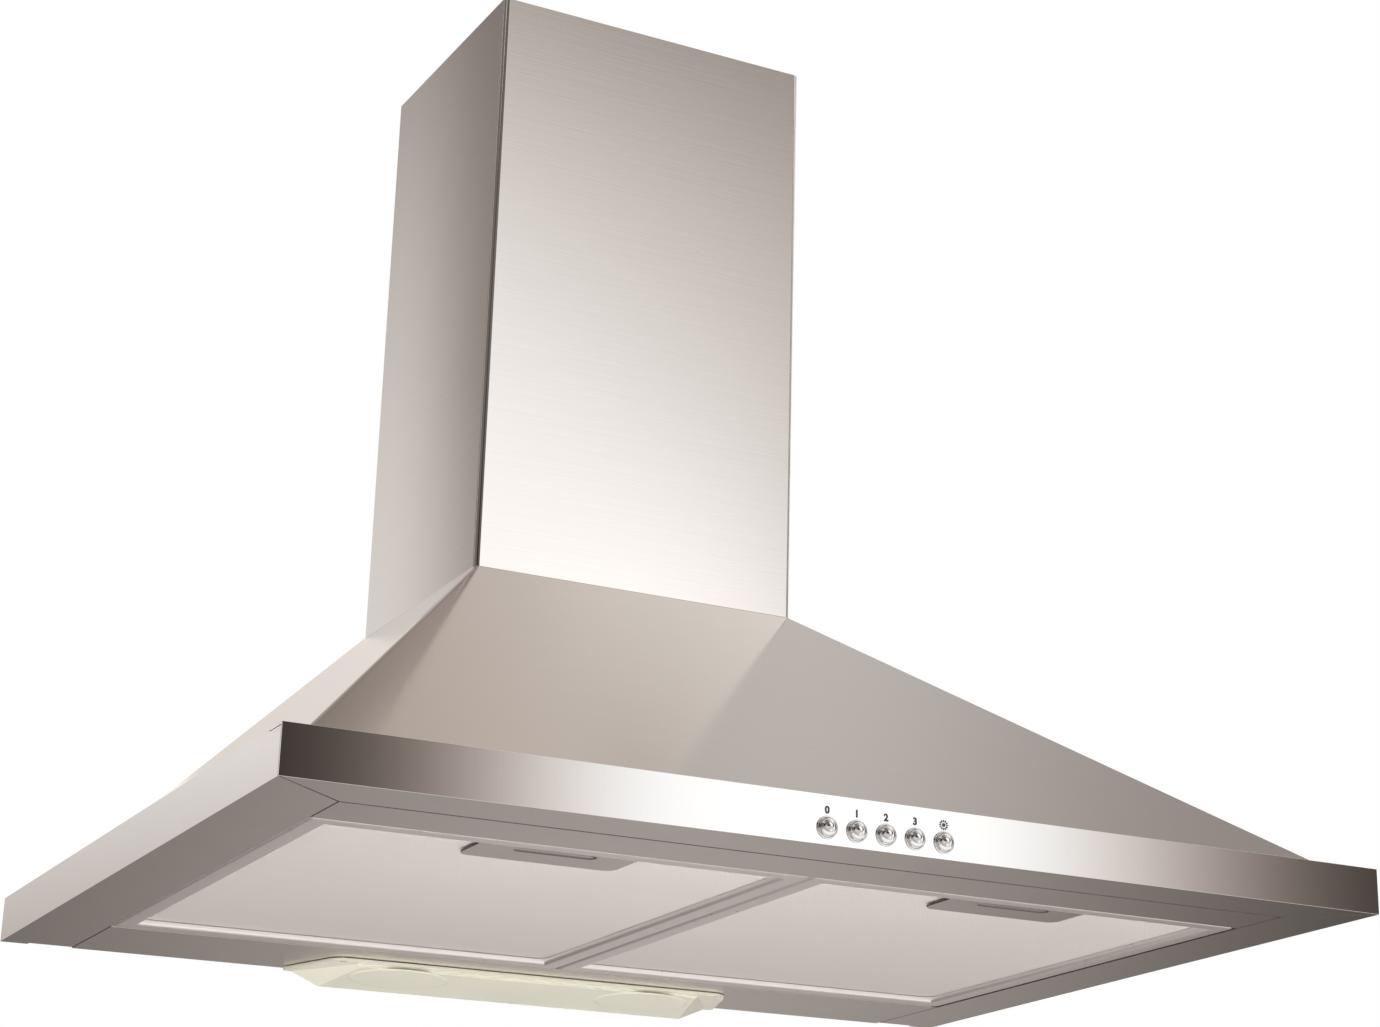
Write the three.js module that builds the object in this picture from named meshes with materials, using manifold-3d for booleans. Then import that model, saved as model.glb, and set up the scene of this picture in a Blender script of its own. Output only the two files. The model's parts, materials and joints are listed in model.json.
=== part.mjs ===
// Wall-mounted chimney range hood, in millimetres, with +Z up and its front facing -Y.
// Heights are written from the rim's lower face and depths from the wall (y = 0).
// The finished hood is then lowered, so that the origin is its hanging point on the wall.

import * as THREE from 'three';
import { ConvexGeometry } from 'three/addons/geometries/ConvexGeometry.js';
import { mergeVertices } from 'three/addons/utils/BufferGeometryUtils.js';
import Module from 'manifold-3d';

const wasm = await Module();
wasm.setup();

// Canopy and chimney
const hoodWidth = 600;
const hoodDepth = 455;
const rimHeight = 24;
const pyramidRise = 180;
const sideLedge = 14;
const frontLedge = 16;
const chimneyWidth = 202;
const chimneyDepth = 170;
const chimneyHeight = 360;
const chimneyFold = 3;
const upperChimneyHeight = 352;
const chimneyReturn = 14;

// Sheet metal and clearances
const sheet = 1;
const gap = 0.3;
const slideGap = 0.8;
const stripGap = 0.8;
const joggleReach = 24;

// Underside
const sideFlange = 39;
const frontFlange = 33;
const frontStripDepth = 37;
const rearStripDepth = 75;
const frontLip = 3.6;
const rearLip = 2.1;

// Wall fixings
const hangHeight = 110;
const hangSpacing = 240;
const hangHoleRadius = 5.5;
const hangSlotRadius = 3;
const hangSlotRise = 12;
const bracketHeight = 515;
const bracketTall = 30;
const bracketSheet = 1.5;

// Grease filters
const filterGap = 1;
const filterRecess = 0;
const filterThickness = 11;
const frameMember = 12;
const frameLip = 3;
const frameTopLip = 1.2;
const frameGroove = 5;
const layerSheet = 0.8;
const tabWidth = 16;
const tabReach = 8;
const tabSheet = 1;
const tabSpacing = 160;

// Filter latches
const plateWidth = 82;
const plateDepth = 31;
const plateRecess = 1.2;
const plateCorner = 6;
const pocketWidth = 43;
const pocketDepth = 8;
const pocketHeight = 5.8;
const pocketInset = 3;
const tongueWidth = 24;
const tongueThickness = 2;
const tongueEngagement = 4;
const springLength = 12;
const springRadius = 1.8;

// Push buttons
const buttonNames = ['stop', 'low', 'middle', 'high', 'lamp'];
const buttonPitch = 16.1;
const buttonHeight = 8.2;
const capRadius = 4.6;
const capProud = 4.6;
const capSkirt = 6;
const stemRadius = 2;
const bezelRadius = 5.6;
const bezelProud = 0.9;
const bezelSleeve = 5.1;
const bezelDepth = 2.5;
const buttonTravel = 3;
const switchSetback = 12;
const switchDepth = 21;
const switchHeight = 17;
const switchMargin = 13;

// Lamps
const coverFrontHalf = 124;
const coverRearHalf = 140;
const coverDepth = 50;
const coverSetback = 3;
const coverFlange = 1.8;
const coverBand = 7;
const coverDrop = 9;
const coverFrontDrop = 3.2;
const coverWall = 1.6;
const coverBottomHalf = 117;
const coverCorner = 9;
const coverRearCorner = 4;
const coverScrewX = 119;
const coverScrewInset = 4;
const coverScrewSink = 1;
const trayHalfWidth = 132;
const trayHeight = 37;
const trayWall = 1;
const lampHeight = 19;
const bulbRadius = 12;
const bulbLength = 52;
const bulbBaseRadius = 7;
const holderRadius = 14;
const holderLength = 26;
const holderWall = 4;
const screwHeadRadius = 1.9;
const screwHeadHeight = 0.6;
const screwRadius = 1.4;
const screwLength = 8;

// Blower
const ductRadius = 60;
const ductWall = 2;
const collarHeight = 36;
const collarFlange = 132;
const scrollSmall = 64;
const scrollLarge = 82;
const scrollTurn = 230;
const blowerHalfWidth = 72;
const blowerWall = 2;
const fanHeight = 122;
const intakeRadius = 48;
const blowerLip = 9;
const blowerLipThickness = 3;
const impellerRadius = 58;
const impellerHalfWidth = 57;
const bladeDepth = 8;
const bladeThickness = 1.2;
const bladeCount = 20;
const bladeLean = 35;
const hubRadius = 11;
const shaftRadius = 4;
const motorRadius = 38;
const motorFace = 20;
const motorLength = 66;
const motorBore = 24;
const spiderArm = 12;
const spiderSheet = 1.5;
const spiderInnerRing = 5;
const spiderOuterRing = 8;

// Damper in the duct collar
const damperSeat = 6;
const flapThickness = 1;
const seatRing = 2;
const damperPinRadius = 1.4;
const knuckleRadius = 2.6;
const knuckleLength = 12;
const knuckleOffsets = { left: [-38, 10], right: [-10, 38] };

// Electrical parts
const terminalWidth = 60;
const terminalDepth = 44;
const terminalHeight = 50;
const terminalMargin = 2;
const terminalBottom = 50;
const terminalWall = 2;
const capacitorRadius = 14;
const capacitorLength = 52;
const capacitorX = 118;
const capacitorBottom = 44;
const glandRadius = 7;
const glandMargin = 6.2;
const glandFlange = 3;
const glandInset = 26;
const cordRadius = 3.5;
const cableRadius = 2.5;

// Places that follow from the sizes above
const halfWidth = hoodWidth / 2;
const frontY = -hoodDepth;
const openHalf = halfWidth - sideFlange;
const openFrontY = frontY + frontFlange;
const stripRearY = openFrontY + frontStripDepth;
const rearStripY = -rearStripDepth;
const baseHalf = halfWidth - sideLedge;
const baseFrontY = frontY + frontLedge;
const chimneyHalf = chimneyWidth / 2;
const pyramidTop = rimHeight + pyramidRise;
const chimneyBase = pyramidTop + gap;
const rearStack = 2 * sheet + gap;
const ductY = -chimneyDepth / 2;
const throatFront = scrollSmall * Math.cos(THREE.MathUtils.degToRad(scrollTurn - 180));
const fanY = ductY - (scrollLarge - throatFront) / 2;
const blowerTop = pyramidTop - sheet - gap;
const upperInset = sheet + slideGap;
const upperHalf = chimneyHalf - upperInset;
const glandX = glandRadius + glandFlange + glandMargin + sheet - upperHalf;

// Materials
const metal = (color, roughness) => ({ color, roughness, metalness: 1 });
const plain = (color, roughness) => ({ color, roughness, metalness: 0 });
const finishes = {
  brushedSteel: metal(0xc8c0ba, 0.35),
  polishedSteel: metal(0xd9d5d0, 0.12),
  galvanised: metal(0xa8aaab, 0.5),
  aluminium: metal(0xd2ccc6, 0.45),
  chrome: metal(0xe4e4e4, 0.05),
  lampPlastic: plain(0xded8c4, 0.35),
  blackPlastic: plain(0x26262a, 0.5),
  greyPlastic: plain(0x8d9094, 0.55),
  whitePlastic: plain(0xe6e4df, 0.45),
  glass: plain(0xf4f1e8, 0.15),
};

// ---- Solid helpers ----

function solid(geometry) {
  geometry.deleteAttribute('normal');
  geometry.deleteAttribute('uv');
  const merged = mergeVertices(geometry, 1e-4);
  const mesh = new wasm.Mesh({
    numProp: 3,
    vertProperties: new Float32Array(merged.attributes.position.array),
    triVerts: new Uint32Array(merged.index.array),
  });
  return new wasm.Manifold(mesh);
}

function geometryOf(body) {
  const { vertProperties, triVerts } = body.getMesh();
  const geometry = new THREE.BufferGeometry();
  geometry.setAttribute('position', new THREE.BufferAttribute(new Float32Array(vertProperties), 3));
  geometry.setIndex(new THREE.BufferAttribute(new Uint32Array(triVerts), 1));
  return geometry;
}

const unite = (first, ...others) => others.reduce((sum, next) => sum.add(next), first);
const cut = (first, ...others) => others.reduce((rest, next) => rest.subtract(next), first);

// Box between two values on each axis
function block([x0, x1], [y0, y1], [z0, z1]) {
  const geometry = new THREE.BoxGeometry(x1 - x0, y1 - y0, z1 - z0);
  geometry.translate((x0 + x1) / 2, (y0 + y1) / 2, (z0 + z1) / 2);
  return solid(geometry);
}

// Turns a geometry made along Y so that it lies along the named axis
const turnFromY = {
  x: (geometry) => geometry.rotateZ(-Math.PI / 2),
  y: (geometry) => geometry,
  z: (geometry) => geometry.rotateX(Math.PI / 2),
};

// Round bar along an axis between two values; centre gives the other two coordinates
function rod(axis, radius, [from, to], [a, b], sides = 32) {
  const geometry = new THREE.CylinderGeometry(radius, radius, to - from, sides);
  turnFromY[axis](geometry);
  const middle = (from + to) / 2;
  const place = { x: [middle, a, b], y: [a, middle, b], z: [a, b, middle] }[axis];
  geometry.translate(...place);
  return solid(geometry);
}

// Turned piece about an axis; the outline runs as [radius, distance along the axis]
function turned(axis, outline, sides = 32) {
  const points = outline.map(([radius, along]) => new THREE.Vector2(radius, along));
  const geometry = turnFromY[axis](new THREE.LatheGeometry(points, sides));
  return solid(geometry);
}

// Prism along Z of an outline or Shape in X and Y
function prismZ(outline, [from, to]) {
  const shape = Array.isArray(outline)
    ? new THREE.Shape(outline.map(([x, y]) => new THREE.Vector2(x, y)))
    : outline;
  const settings = { depth: to - from, bevelEnabled: false, curveSegments: 6 };
  const geometry = new THREE.ExtrudeGeometry(shape, settings);
  geometry.translate(0, 0, from);
  return geometry;
}

// Prism along X of an outline in Y and Z
function prismX(outline, range) {
  const turn = new THREE.Matrix4().set(0, 0, 1, 0, 1, 0, 0, 0, 0, 1, 0, 0, 0, 0, 0, 1);
  return solid(prismZ(outline, range).applyMatrix4(turn));
}

// Prism along Y of an outline in X and Z
function prismY(outline, [from, to]) {
  return solid(prismZ(outline, [-to, -from]).rotateX(Math.PI / 2));
}

// Convex body around two level outlines
function taper(lower, upper) {
  const corners = [...lower, ...upper].map(([x, y, z]) => new THREE.Vector3(x, y, z));
  return solid(new ConvexGeometry(corners));
}

const hood = new THREE.Group();
hood.position.z = -hangHeight;

function add(name, body, finish, parent = hood) {
  const material = new THREE.MeshStandardMaterial(finishes[finish]);
  const mesh = new THREE.Mesh(geometryOf(body), material);
  mesh.name = name;
  parent.add(mesh);
  return mesh;
}

// ---- Canopy ----

// Half width and front edge of the pyramid at a height, inside a skin of the given thickness
function pyramidAt(height, skin = 0) {
  const share = (height - rimHeight) / pyramidRise;
  const sideRun = baseHalf - chimneyHalf;
  const frontRun = hoodDepth - frontLedge - chimneyDepth;
  return {
    half: baseHalf - sideRun * share - skin * Math.hypot(sideRun, pyramidRise) / pyramidRise,
    front: baseFrontY + frontRun * share + skin * Math.hypot(frontRun, pyramidRise) / pyramidRise,
  };
}

function pyramid(bottom, top, skin, rearY) {
  const ring = (height) => {
    const { half, front } = pyramidAt(height, skin);
    return [[-half, front, height], [half, front, height], [half, rearY, height], [-half, rearY, height]];
  };
  return taper(ring(bottom), ring(top));
}

// Half width of the window that the canopy's rear returns leave open at a height
function backWindowHalf(height) {
  const low = halfWidth - sheet - chimneyReturn;
  const high = chimneyHalf - chimneyReturn;
  return THREE.MathUtils.lerp(low, high, (height + chimneyReturn - rimHeight) / pyramidRise);
}

// Outline of the canopy's back in X and Z, inside a skin and drawn in by a clearance
function backOutline(skin, clearance, bottom) {
  const wide = halfWidth - skin - clearance;
  const ledge = rimHeight - skin - clearance;
  const low = pyramidAt(ledge, skin).half - clearance;
  const high = pyramidAt(pyramidTop - skin - clearance, skin).half - clearance;
  const top = pyramidTop - skin - clearance;
  return [[-wide, bottom], [wide, bottom], [wide, ledge], [low, ledge], [high, top],
    [-high, top], [-low, ledge], [-wide, ledge]];
}

const mitreY = (x) => frontY + (halfWidth - x) * frontFlange / sideFlange;

function mitreCut(side) {
  const back = gap * Math.hypot(frontFlange, sideFlange) / sideFlange;
  const inner = openHalf - sideFlange;
  const outer = halfWidth + sideFlange;
  const outline = [[side * inner, mitreY(inner) + back], [side * outer, mitreY(outer) + back],
    [side * outer, frontY - frontFlange], [side * inner, frontY - frontFlange]];
  return solid(prismZ(outline, [-sheet, sheet + gap]));
}

function canopyShell() {
  const skin = sheet;
  const rim = block([-halfWidth, halfWidth], [frontY + sheet + gap, 0], [0, rimHeight]);
  const outside = rim.add(pyramid(rimHeight - skin / 2, pyramidTop, 0, 0));
  const rimInside = block([skin - halfWidth, halfWidth - skin], [frontY, -rearStack], [skin, rimHeight - skin]);
  const pyramidInside = pyramid(rimHeight - 2 * skin, pyramidTop - skin, skin, -rearStack);
  const underside = block([-openHalf, openHalf], [frontY, sheet], [-skin, 2 * skin]);
  const underFascia = block([-hoodWidth, hoodWidth], [frontY, baseFrontY],
    [rimHeight - skin - gap, pyramidTop]);
  const backRecess = prismY(backOutline(skin, 0, skin), [-sheet - gap, sheet]);
  const low = rimHeight - chimneyReturn;
  const top = pyramidTop - chimneyReturn;
  const wide = backWindowHalf(low);
  const high = backWindowHalf(top);
  const windowOutline = [[-wide, -skin], [wide, -skin], [wide, low], [high, top], [-high, top], [-wide, low]];
  const backWindow = prismY(windowOutline, [-rearStack - skin, sheet]);
  const ductHole = rod('z', ductRadius - ductWall, [pyramidTop - 2 * skin, pyramidTop + skin], [0, ductY], 48);
  const cableHole = rod('z', glandRadius + gap, [pyramidTop - 2 * skin, pyramidTop + skin],
    [glandX, -glandInset], 24);
  return cut(outside, rimInside, pyramidInside, underside, underFascia, backRecess, backWindow,
    mitreCut(-1), mitreCut(1), ductHole, cableHole);
}
add('canopy_shell', canopyShell(), 'brushedSteel');

const buttonX = (index) => (index - (buttonNames.length - 1) / 2) * buttonPitch;

function frontFascia() {
  const wall = block([-halfWidth, halfWidth], [frontY, frontY + sheet], [0, rimHeight]);
  const ledge = block([-halfWidth, halfWidth], [frontY, baseFrontY - gap], [rimHeight - sheet, rimHeight]);
  const flange = solid(prismZ([[-halfWidth, frontY], [halfWidth, frontY],
    [openHalf, openFrontY], [-openHalf, openFrontY]], [0, sheet]));
  const holes = buttonNames.map((name, index) => rod('y', bezelSleeve + gap / 2,
    [frontY - sheet, frontY + 2 * sheet], [buttonX(index), buttonHeight], 24));
  return cut(unite(wall, ledge, flange), ...holes);
}
add('front_fascia', frontFascia(), 'polishedSteel');

function backPanel() {
  const panel = prismY(backOutline(sheet, gap, sheet + gap), [-sheet, 0]);
  const slots = [-1, 1].map((side) => {
    const x = side * hangSpacing / 2;
    const hole = rod('y', hangHoleRadius, [-2 * sheet, sheet], [x, hangHeight], 24);
    const slot = rod('y', hangSlotRadius, [-2 * sheet, sheet], [x, hangHeight + hangSlotRise], 16);
    const neck = block([x - hangSlotRadius, x + hangSlotRadius], [-2 * sheet, sheet],
      [hangHeight, hangHeight + hangSlotRise]);
    return unite(hole, slot, neck);
  });
  return cut(panel, ...slots);
}
add('back_panel', backPanel(), 'galvanised');

// Tabs that step up over the side flanges carry a strip at both ends
function endTabs(front, rear) {
  const inner = openHalf - stripGap;
  const tabs = [-1, 1].map((side) => {
    const span = (a, b) => (side < 0 ? [-b, -a] : [a, b]);
    const step = block(span(inner - sheet, inner), [front, rear], [0, 2 * sheet + gap]);
    const tab = block(span(inner - sheet, inner + joggleReach), [front, rear], [sheet + gap, 2 * sheet + gap]);
    return step.add(tab);
  });
  return unite(...tabs);
}

function frontStrip() {
  const inner = openHalf - stripGap;
  const front = openFrontY + stripGap;
  const flat = block([-inner, inner], [front, stripRearY], [0, sheet]);
  const lip = block([-inner, inner], [stripRearY - sheet, stripRearY], [0, frontLip]);
  const overFlange = [-1, 1].map((side) => {
    const near = side * (halfWidth / 4);
    const far = side * (openHalf - sideFlange);
    const span = [Math.min(near, far), Math.max(near, far)];
    const step = block(span, [front, front + sheet], [0, 2 * sheet + gap]);
    return step.add(block(span, [front - frontFlange / 2, front + sheet], [sheet + gap, 2 * sheet + gap]));
  });
  return unite(flat, lip, endTabs(front + sheet, stripRearY - sheet), ...overFlange);
}
add('front_strip', frontStrip(), 'brushedSteel');

const coverRearY = -coverSetback;
const coverFrontY = coverRearY - coverDepth;
const lampY = (coverRearY + coverFrontY) / 2;
const coverScrewY = coverFrontY + coverScrewInset;
const lampWindowHalf = coverBottomHalf - coverBand;

function rearStrip() {
  const inner = openHalf - stripGap;
  const flat = block([-inner, inner], [rearStripY, 0], [0, sheet]);
  const lip = block([-inner, inner], [rearStripY, rearStripY + sheet], [0, rearLip]);
  const window = block([-lampWindowHalf, lampWindowHalf],
    [coverFrontY + 2 * coverBand, coverRearY - coverBand], [-sheet, 2 * sheet]);
  const holes = [-1, 1].map((side) => rod('z', screwRadius + gap, [-sheet, 2 * sheet],
    [side * coverScrewX, coverScrewY], 16));
  const tabs = endTabs(rearStripY + 2 * sheet, -rearStack - gap);
  return cut(unite(flat, lip, tabs), window, ...holes);
}
add('rear_strip', rearStrip(), 'brushedSteel');

// ---- Chimney ----

// Open-backed box section with folded front corners and two rear returns
function chimneySection(half, front, rear, [bottom, top]) {
  const outline = (inset) => {
    const shape = new THREE.Shape();
    const side = half - inset;
    const near = front + inset;
    const radius = Math.max(chimneyFold - inset, gap);
    shape.moveTo(-side, rear - inset);
    shape.lineTo(-side, near + radius);
    shape.absarc(-side + radius, near + radius, radius, Math.PI, 1.5 * Math.PI);
    shape.lineTo(side - radius, near);
    shape.absarc(side - radius, near + radius, radius, 1.5 * Math.PI, 2 * Math.PI);
    shape.lineTo(side, rear - inset);
    return shape;
  };
  const outside = solid(prismZ(outline(0), [bottom, top]));
  const inside = solid(prismZ(outline(sheet), [bottom - sheet, top + sheet]));
  const back = block([chimneyReturn - half, half - chimneyReturn], [rear - 2 * sheet, rear + sheet],
    [bottom - sheet, top + sheet]);
  return cut(outside, inside, back);
}
add('lower_chimney', chimneySection(chimneyHalf, -chimneyDepth, 0,
  [chimneyBase, chimneyBase + chimneyHeight]), 'brushedSteel');
add('upper_chimney', chimneySection(upperHalf, upperInset - chimneyDepth, -upperInset,
  [chimneyBase, chimneyBase + upperChimneyHeight]), 'brushedSteel');

function chimneyWallBracket() {
  const levels = [bracketHeight - bracketTall / 2, bracketHeight + bracketTall / 2];
  const plateHalf = chimneyHalf - chimneyReturn - slideGap - 2 * bracketSheet;
  const earRear = -upperInset - sheet - gap;
  const plate = block([-plateHalf, plateHalf], [-bracketSheet, 0], levels);
  const ears = [-1, 1].map((side) => {
    const span = (a, b) => (side < 0 ? [-b, -a] : [a, b]);
    const web = block(span(plateHalf - bracketSheet, plateHalf), [earRear - bracketSheet, 0], levels);
    const ear = block(span(plateHalf - bracketSheet, upperHalf - 2 * sheet),
      [earRear - bracketSheet, earRear], levels);
    return web.add(ear);
  });
  const screwHoles = [-1, 1].map((side) => rod('y', hangSlotRadius, [-2 * bracketSheet, bracketSheet],
    [side * plateHalf / 2, bracketHeight], 16));
  return cut(unite(plate, ...ears), ...screwHoles);
}
add('chimney_wall_bracket', chimneyWallBracket(), 'galvanised');

// ---- Push buttons ----

const switchFrontY = frontY + switchSetback;
const switchHalf = buttonX(buttonNames.length - 1) + switchMargin;
const switchBottom = (rimHeight - switchHeight) / 2;

function buttonCap() {
  const dome = 6;
  const shoulder = -capProud / 3;
  const outline = [[0, -capProud]];
  for (let step = 1; step <= dome; step += 1) {
    const angle = (Math.PI / 2) * step / dome;
    outline.push([capRadius * Math.sin(angle), shoulder - (capProud + shoulder) * Math.cos(angle)]);
  }
  const skirtEnd = capSkirt;
  const stemEnd = switchSetback + buttonTravel / 2;
  outline.push([capRadius, skirtEnd], [stemRadius, skirtEnd], [stemRadius, stemEnd], [0, stemEnd]);
  return turned('y', outline, 20);
}

function buttonBezel() {
  const bore = capRadius + gap / 2;
  return turned('y', [[bore, -bezelProud], [bezelRadius, -bezelProud], [bezelRadius, -gap / 10],
    [bezelSleeve, -gap / 10], [bezelSleeve, bezelDepth], [bore, bezelDepth], [bore, -bezelProud]], 20);
}

buttonNames.forEach((name, index) => {
  const cap = add(`button_${name}`, buttonCap(), 'chrome');
  const bezel = add(`bezel_${name}`, buttonBezel(), 'chrome');
  [cap, bezel].forEach((mesh) => mesh.position.set(buttonX(index), frontY, buttonHeight));
});

function switchHousing() {
  const box = block([-switchHalf, switchHalf], [switchFrontY, switchFrontY + switchDepth],
    [switchBottom, switchBottom + switchHeight]);
  const bores = buttonNames.map((name, index) => rod('y', stemRadius + gap,
    [switchFrontY - sheet, switchFrontY + 2 * buttonTravel], [buttonX(index), buttonHeight], 16));
  return cut(box, ...bores);
}
add('switch_housing', switchHousing(), 'blackPlastic');

function switchBracket() {
  const plateFront = frontY + sheet + gap;
  const armHalf = switchHalf + gap;
  const levels = [switchBottom, switchBottom + switchHeight];
  const plate = block([-armHalf - sheet, armHalf + sheet], [plateFront, plateFront + sheet], levels);
  const arms = [-1, 1].map((side) => {
    const span = side < 0 ? [-armHalf - sheet, -armHalf] : [armHalf, armHalf + sheet];
    return block(span, [plateFront, switchFrontY + switchDepth], levels);
  });
  const holes = buttonNames.map((name, index) => rod('y', bezelSleeve + gap,
    [plateFront - sheet, plateFront + 2 * sheet], [buttonX(index), buttonHeight], 24));
  return cut(unite(plate, ...arms), ...holes);
}
add('switch_bracket', switchBracket(), 'galvanised');

// ---- Grease filters and their latches ----

const filterWidth = openHalf - 1.5 * filterGap;
const filterHalf = filterWidth / 2;
const filterX = filterGap / 2 + filterHalf;
const filterFrontY = stripRearY + filterGap;
const filterRearY = rearStripY - filterGap;
const filterBottom = filterRecess;
const filterTop = filterBottom + filterThickness;
const windowFrontY = filterFrontY + frameMember;
const windowRearY = filterRearY - frameMember;
const windowHalf = filterHalf - frameMember;
const grooveBottom = filterBottom + frameLip;
const grooveTop = filterTop - frameTopLip;
const meshBottom = grooveBottom + gap;
const meshTop = grooveTop - gap;
const plateFrontY = windowFrontY + gap;
const plateBottom = filterBottom + plateRecess;
const plateTop = plateBottom + sheet;
const pocketFrontY = plateFrontY + pocketInset;
const pocketRearY = pocketFrontY + pocketDepth;
const pocketTop = plateBottom + pocketHeight + sheet;
const tongueBottom = frontLip + gap;
const guideHalf = pocketWidth / 2 + sheet + slideGap;
const guideRearY = pocketRearY + sheet + springLength + 2 * gap;

function filterFrame() {
  const outside = block([-filterHalf, filterHalf], [filterFrontY, filterRearY], [filterBottom, filterTop]);
  const window = block([-windowHalf, windowHalf], [windowFrontY, windowRearY],
    [filterBottom - sheet, filterTop + sheet]);
  const groove = block([-windowHalf - frameGroove, windowHalf + frameGroove],
    [windowFrontY - frameGroove, windowRearY + frameGroove], [grooveBottom, grooveTop]);
  const tongueSlot = block([-tongueWidth / 2 - gap, tongueWidth / 2 + gap],
    [filterFrontY - sheet, windowFrontY + sheet], [tongueBottom - gap, tongueBottom + tongueThickness + gap]);
  const tabs = [-1, 1].map((side) => {
    const x = side * tabSpacing / 2;
    return block([x - tabWidth / 2, x + tabWidth / 2], [filterRearY - sheet, filterRearY + tabReach],
      [rearLip + gap, rearLip + gap + tabSheet]);
  });
  return unite(cut(outside, window, groove, tongueSlot), ...tabs);
}

// One layer of mesh between two heights, cut away where the latch sits
function filterLayer(levels) {
  const reach = frameGroove - gap;
  const panel = block([-windowHalf - reach, windowHalf + reach],
    [windowFrontY - reach, windowRearY + reach], levels);
  const latchRoom = block([-guideHalf - 2 * sheet, guideHalf + 2 * sheet],
    [filterFrontY, guideRearY + 2 * sheet], [meshBottom - sheet, meshTop + sheet]);
  return panel.subtract(latchRoom);
}

function latchPlate() {
  const half = plateWidth / 2;
  const rear = plateFrontY + plateDepth;
  const shape = new THREE.Shape();
  shape.moveTo(-half, plateFrontY);
  shape.lineTo(half, plateFrontY);
  shape.lineTo(half, rear - plateCorner);
  shape.absarc(half - plateCorner, rear - plateCorner, plateCorner, 0, Math.PI / 2);
  shape.lineTo(-half + plateCorner, rear);
  shape.absarc(-half + plateCorner, rear - plateCorner, plateCorner, Math.PI / 2, Math.PI);
  const plate = solid(prismZ(shape, [plateBottom, plateTop]));
  const pocketHalf = pocketWidth / 2;
  const pocket = block([-pocketHalf - sheet, pocketHalf + sheet],
    [pocketFrontY - sheet, pocketRearY + sheet], [plateBottom, pocketTop]);
  const tongue = block([-tongueWidth / 2, tongueWidth / 2],
    [stripRearY - sheet - tongueEngagement, pocketFrontY], [tongueBottom, tongueBottom + tongueThickness]);
  const finger = block([-pocketHalf, pocketHalf], [pocketFrontY, pocketRearY],
    [plateBottom - sheet, pocketTop - sheet]);
  return cut(unite(plate, pocket, tongue), finger);
}

function latchGuide() {
  const levels = [pocketTop + gap, meshTop];
  const roof = block([-guideHalf - sheet, guideHalf + sheet],
    [windowFrontY - frameGroove + gap, guideRearY + sheet], levels);
  const sides = [-1, 1].map((side) => {
    const span = side < 0 ? [-guideHalf - sheet, -guideHalf] : [guideHalf, guideHalf + sheet];
    return block(span, [plateFrontY, guideRearY + sheet], [plateTop + gap, meshTop]);
  });
  const rear = block([-guideHalf - sheet, guideHalf + sheet], [guideRearY, guideRearY + sheet],
    [plateTop + gap, meshTop]);
  return unite(roof, ...sides, rear);
}

function latchSpring() {
  const level = (plateTop + pocketTop) / 2;
  return rod('y', springRadius, [pocketRearY + sheet + gap, guideRearY - gap], [0, level], 12);
}

for (const [side, name] of [[-1, 'left'], [1, 'right']]) {
  const filter = new THREE.Group();
  filter.position.x = side * filterX;
  hood.add(filter);
  add(`filter_frame_${name}`, filterFrame(), 'aluminium', filter);
  add(`filter_mesh_${name}`, filterLayer([meshBottom, meshBottom + layerSheet]), 'aluminium', filter);
  add(`filter_backing_${name}`, filterLayer([meshTop - layerSheet, meshTop]), 'aluminium', filter);
  add(`latch_plate_${name}`, latchPlate(), 'brushedSteel', filter);
  add(`latch_guide_${name}`, latchGuide(), 'galvanised', filter);
  add(`latch_spring_${name}`, latchSpring(), 'galvanised', filter);
}

// ---- Lamps ----

// The flange widens towards the wall and its corners are round
function coverFlangeShape() {
  const shape = new THREE.Shape();
  const slope = (coverRearHalf - coverFrontHalf) / coverDepth;
  const edge = (y) => coverFrontHalf + (y - coverFrontY) * slope;
  const turnY = coverFrontY + coverCorner;
  const rearTurnY = coverRearY - coverRearCorner;
  const rearEnd = coverRearHalf - coverRearCorner;
  shape.moveTo(-rearEnd, coverRearY);
  shape.quadraticCurveTo(-coverRearHalf, coverRearY, -edge(rearTurnY), rearTurnY);
  shape.lineTo(-edge(turnY), turnY);
  shape.quadraticCurveTo(-coverFrontHalf, coverFrontY, -coverFrontHalf + coverCorner, coverFrontY);
  shape.lineTo(coverFrontHalf - coverCorner, coverFrontY);
  shape.quadraticCurveTo(coverFrontHalf, coverFrontY, edge(turnY), turnY);
  shape.lineTo(edge(rearTurnY), rearTurnY);
  shape.quadraticCurveTo(coverRearHalf, coverRearY, rearEnd, coverRearY);
  return shape;
}

// Wedge under the flange: shallow at its front, deepest at the wall
function coverWedge(inset, top) {
  const front = coverFrontY + coverBand + inset;
  const rear = coverRearY - inset;
  const frontHalf = coverBottomHalf - coverBand - inset;
  const rearHalf = coverRearHalf - coverRearCorner - inset;
  const bottomHalf = coverBottomHalf - inset;
  const shallow = -gap - coverFrontDrop + inset;
  const deep = -gap - coverDrop + inset;
  const upper = [[-frontHalf, front, top], [frontHalf, front, top],
    [rearHalf, rear, top], [-rearHalf, rear, top]];
  const lower = [[-frontHalf + coverBand / 2, front, shallow], [frontHalf - coverBand / 2, front, shallow],
    [bottomHalf, rear, deep], [-bottomHalf, rear, deep]];
  return taper(lower, upper);
}

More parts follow.
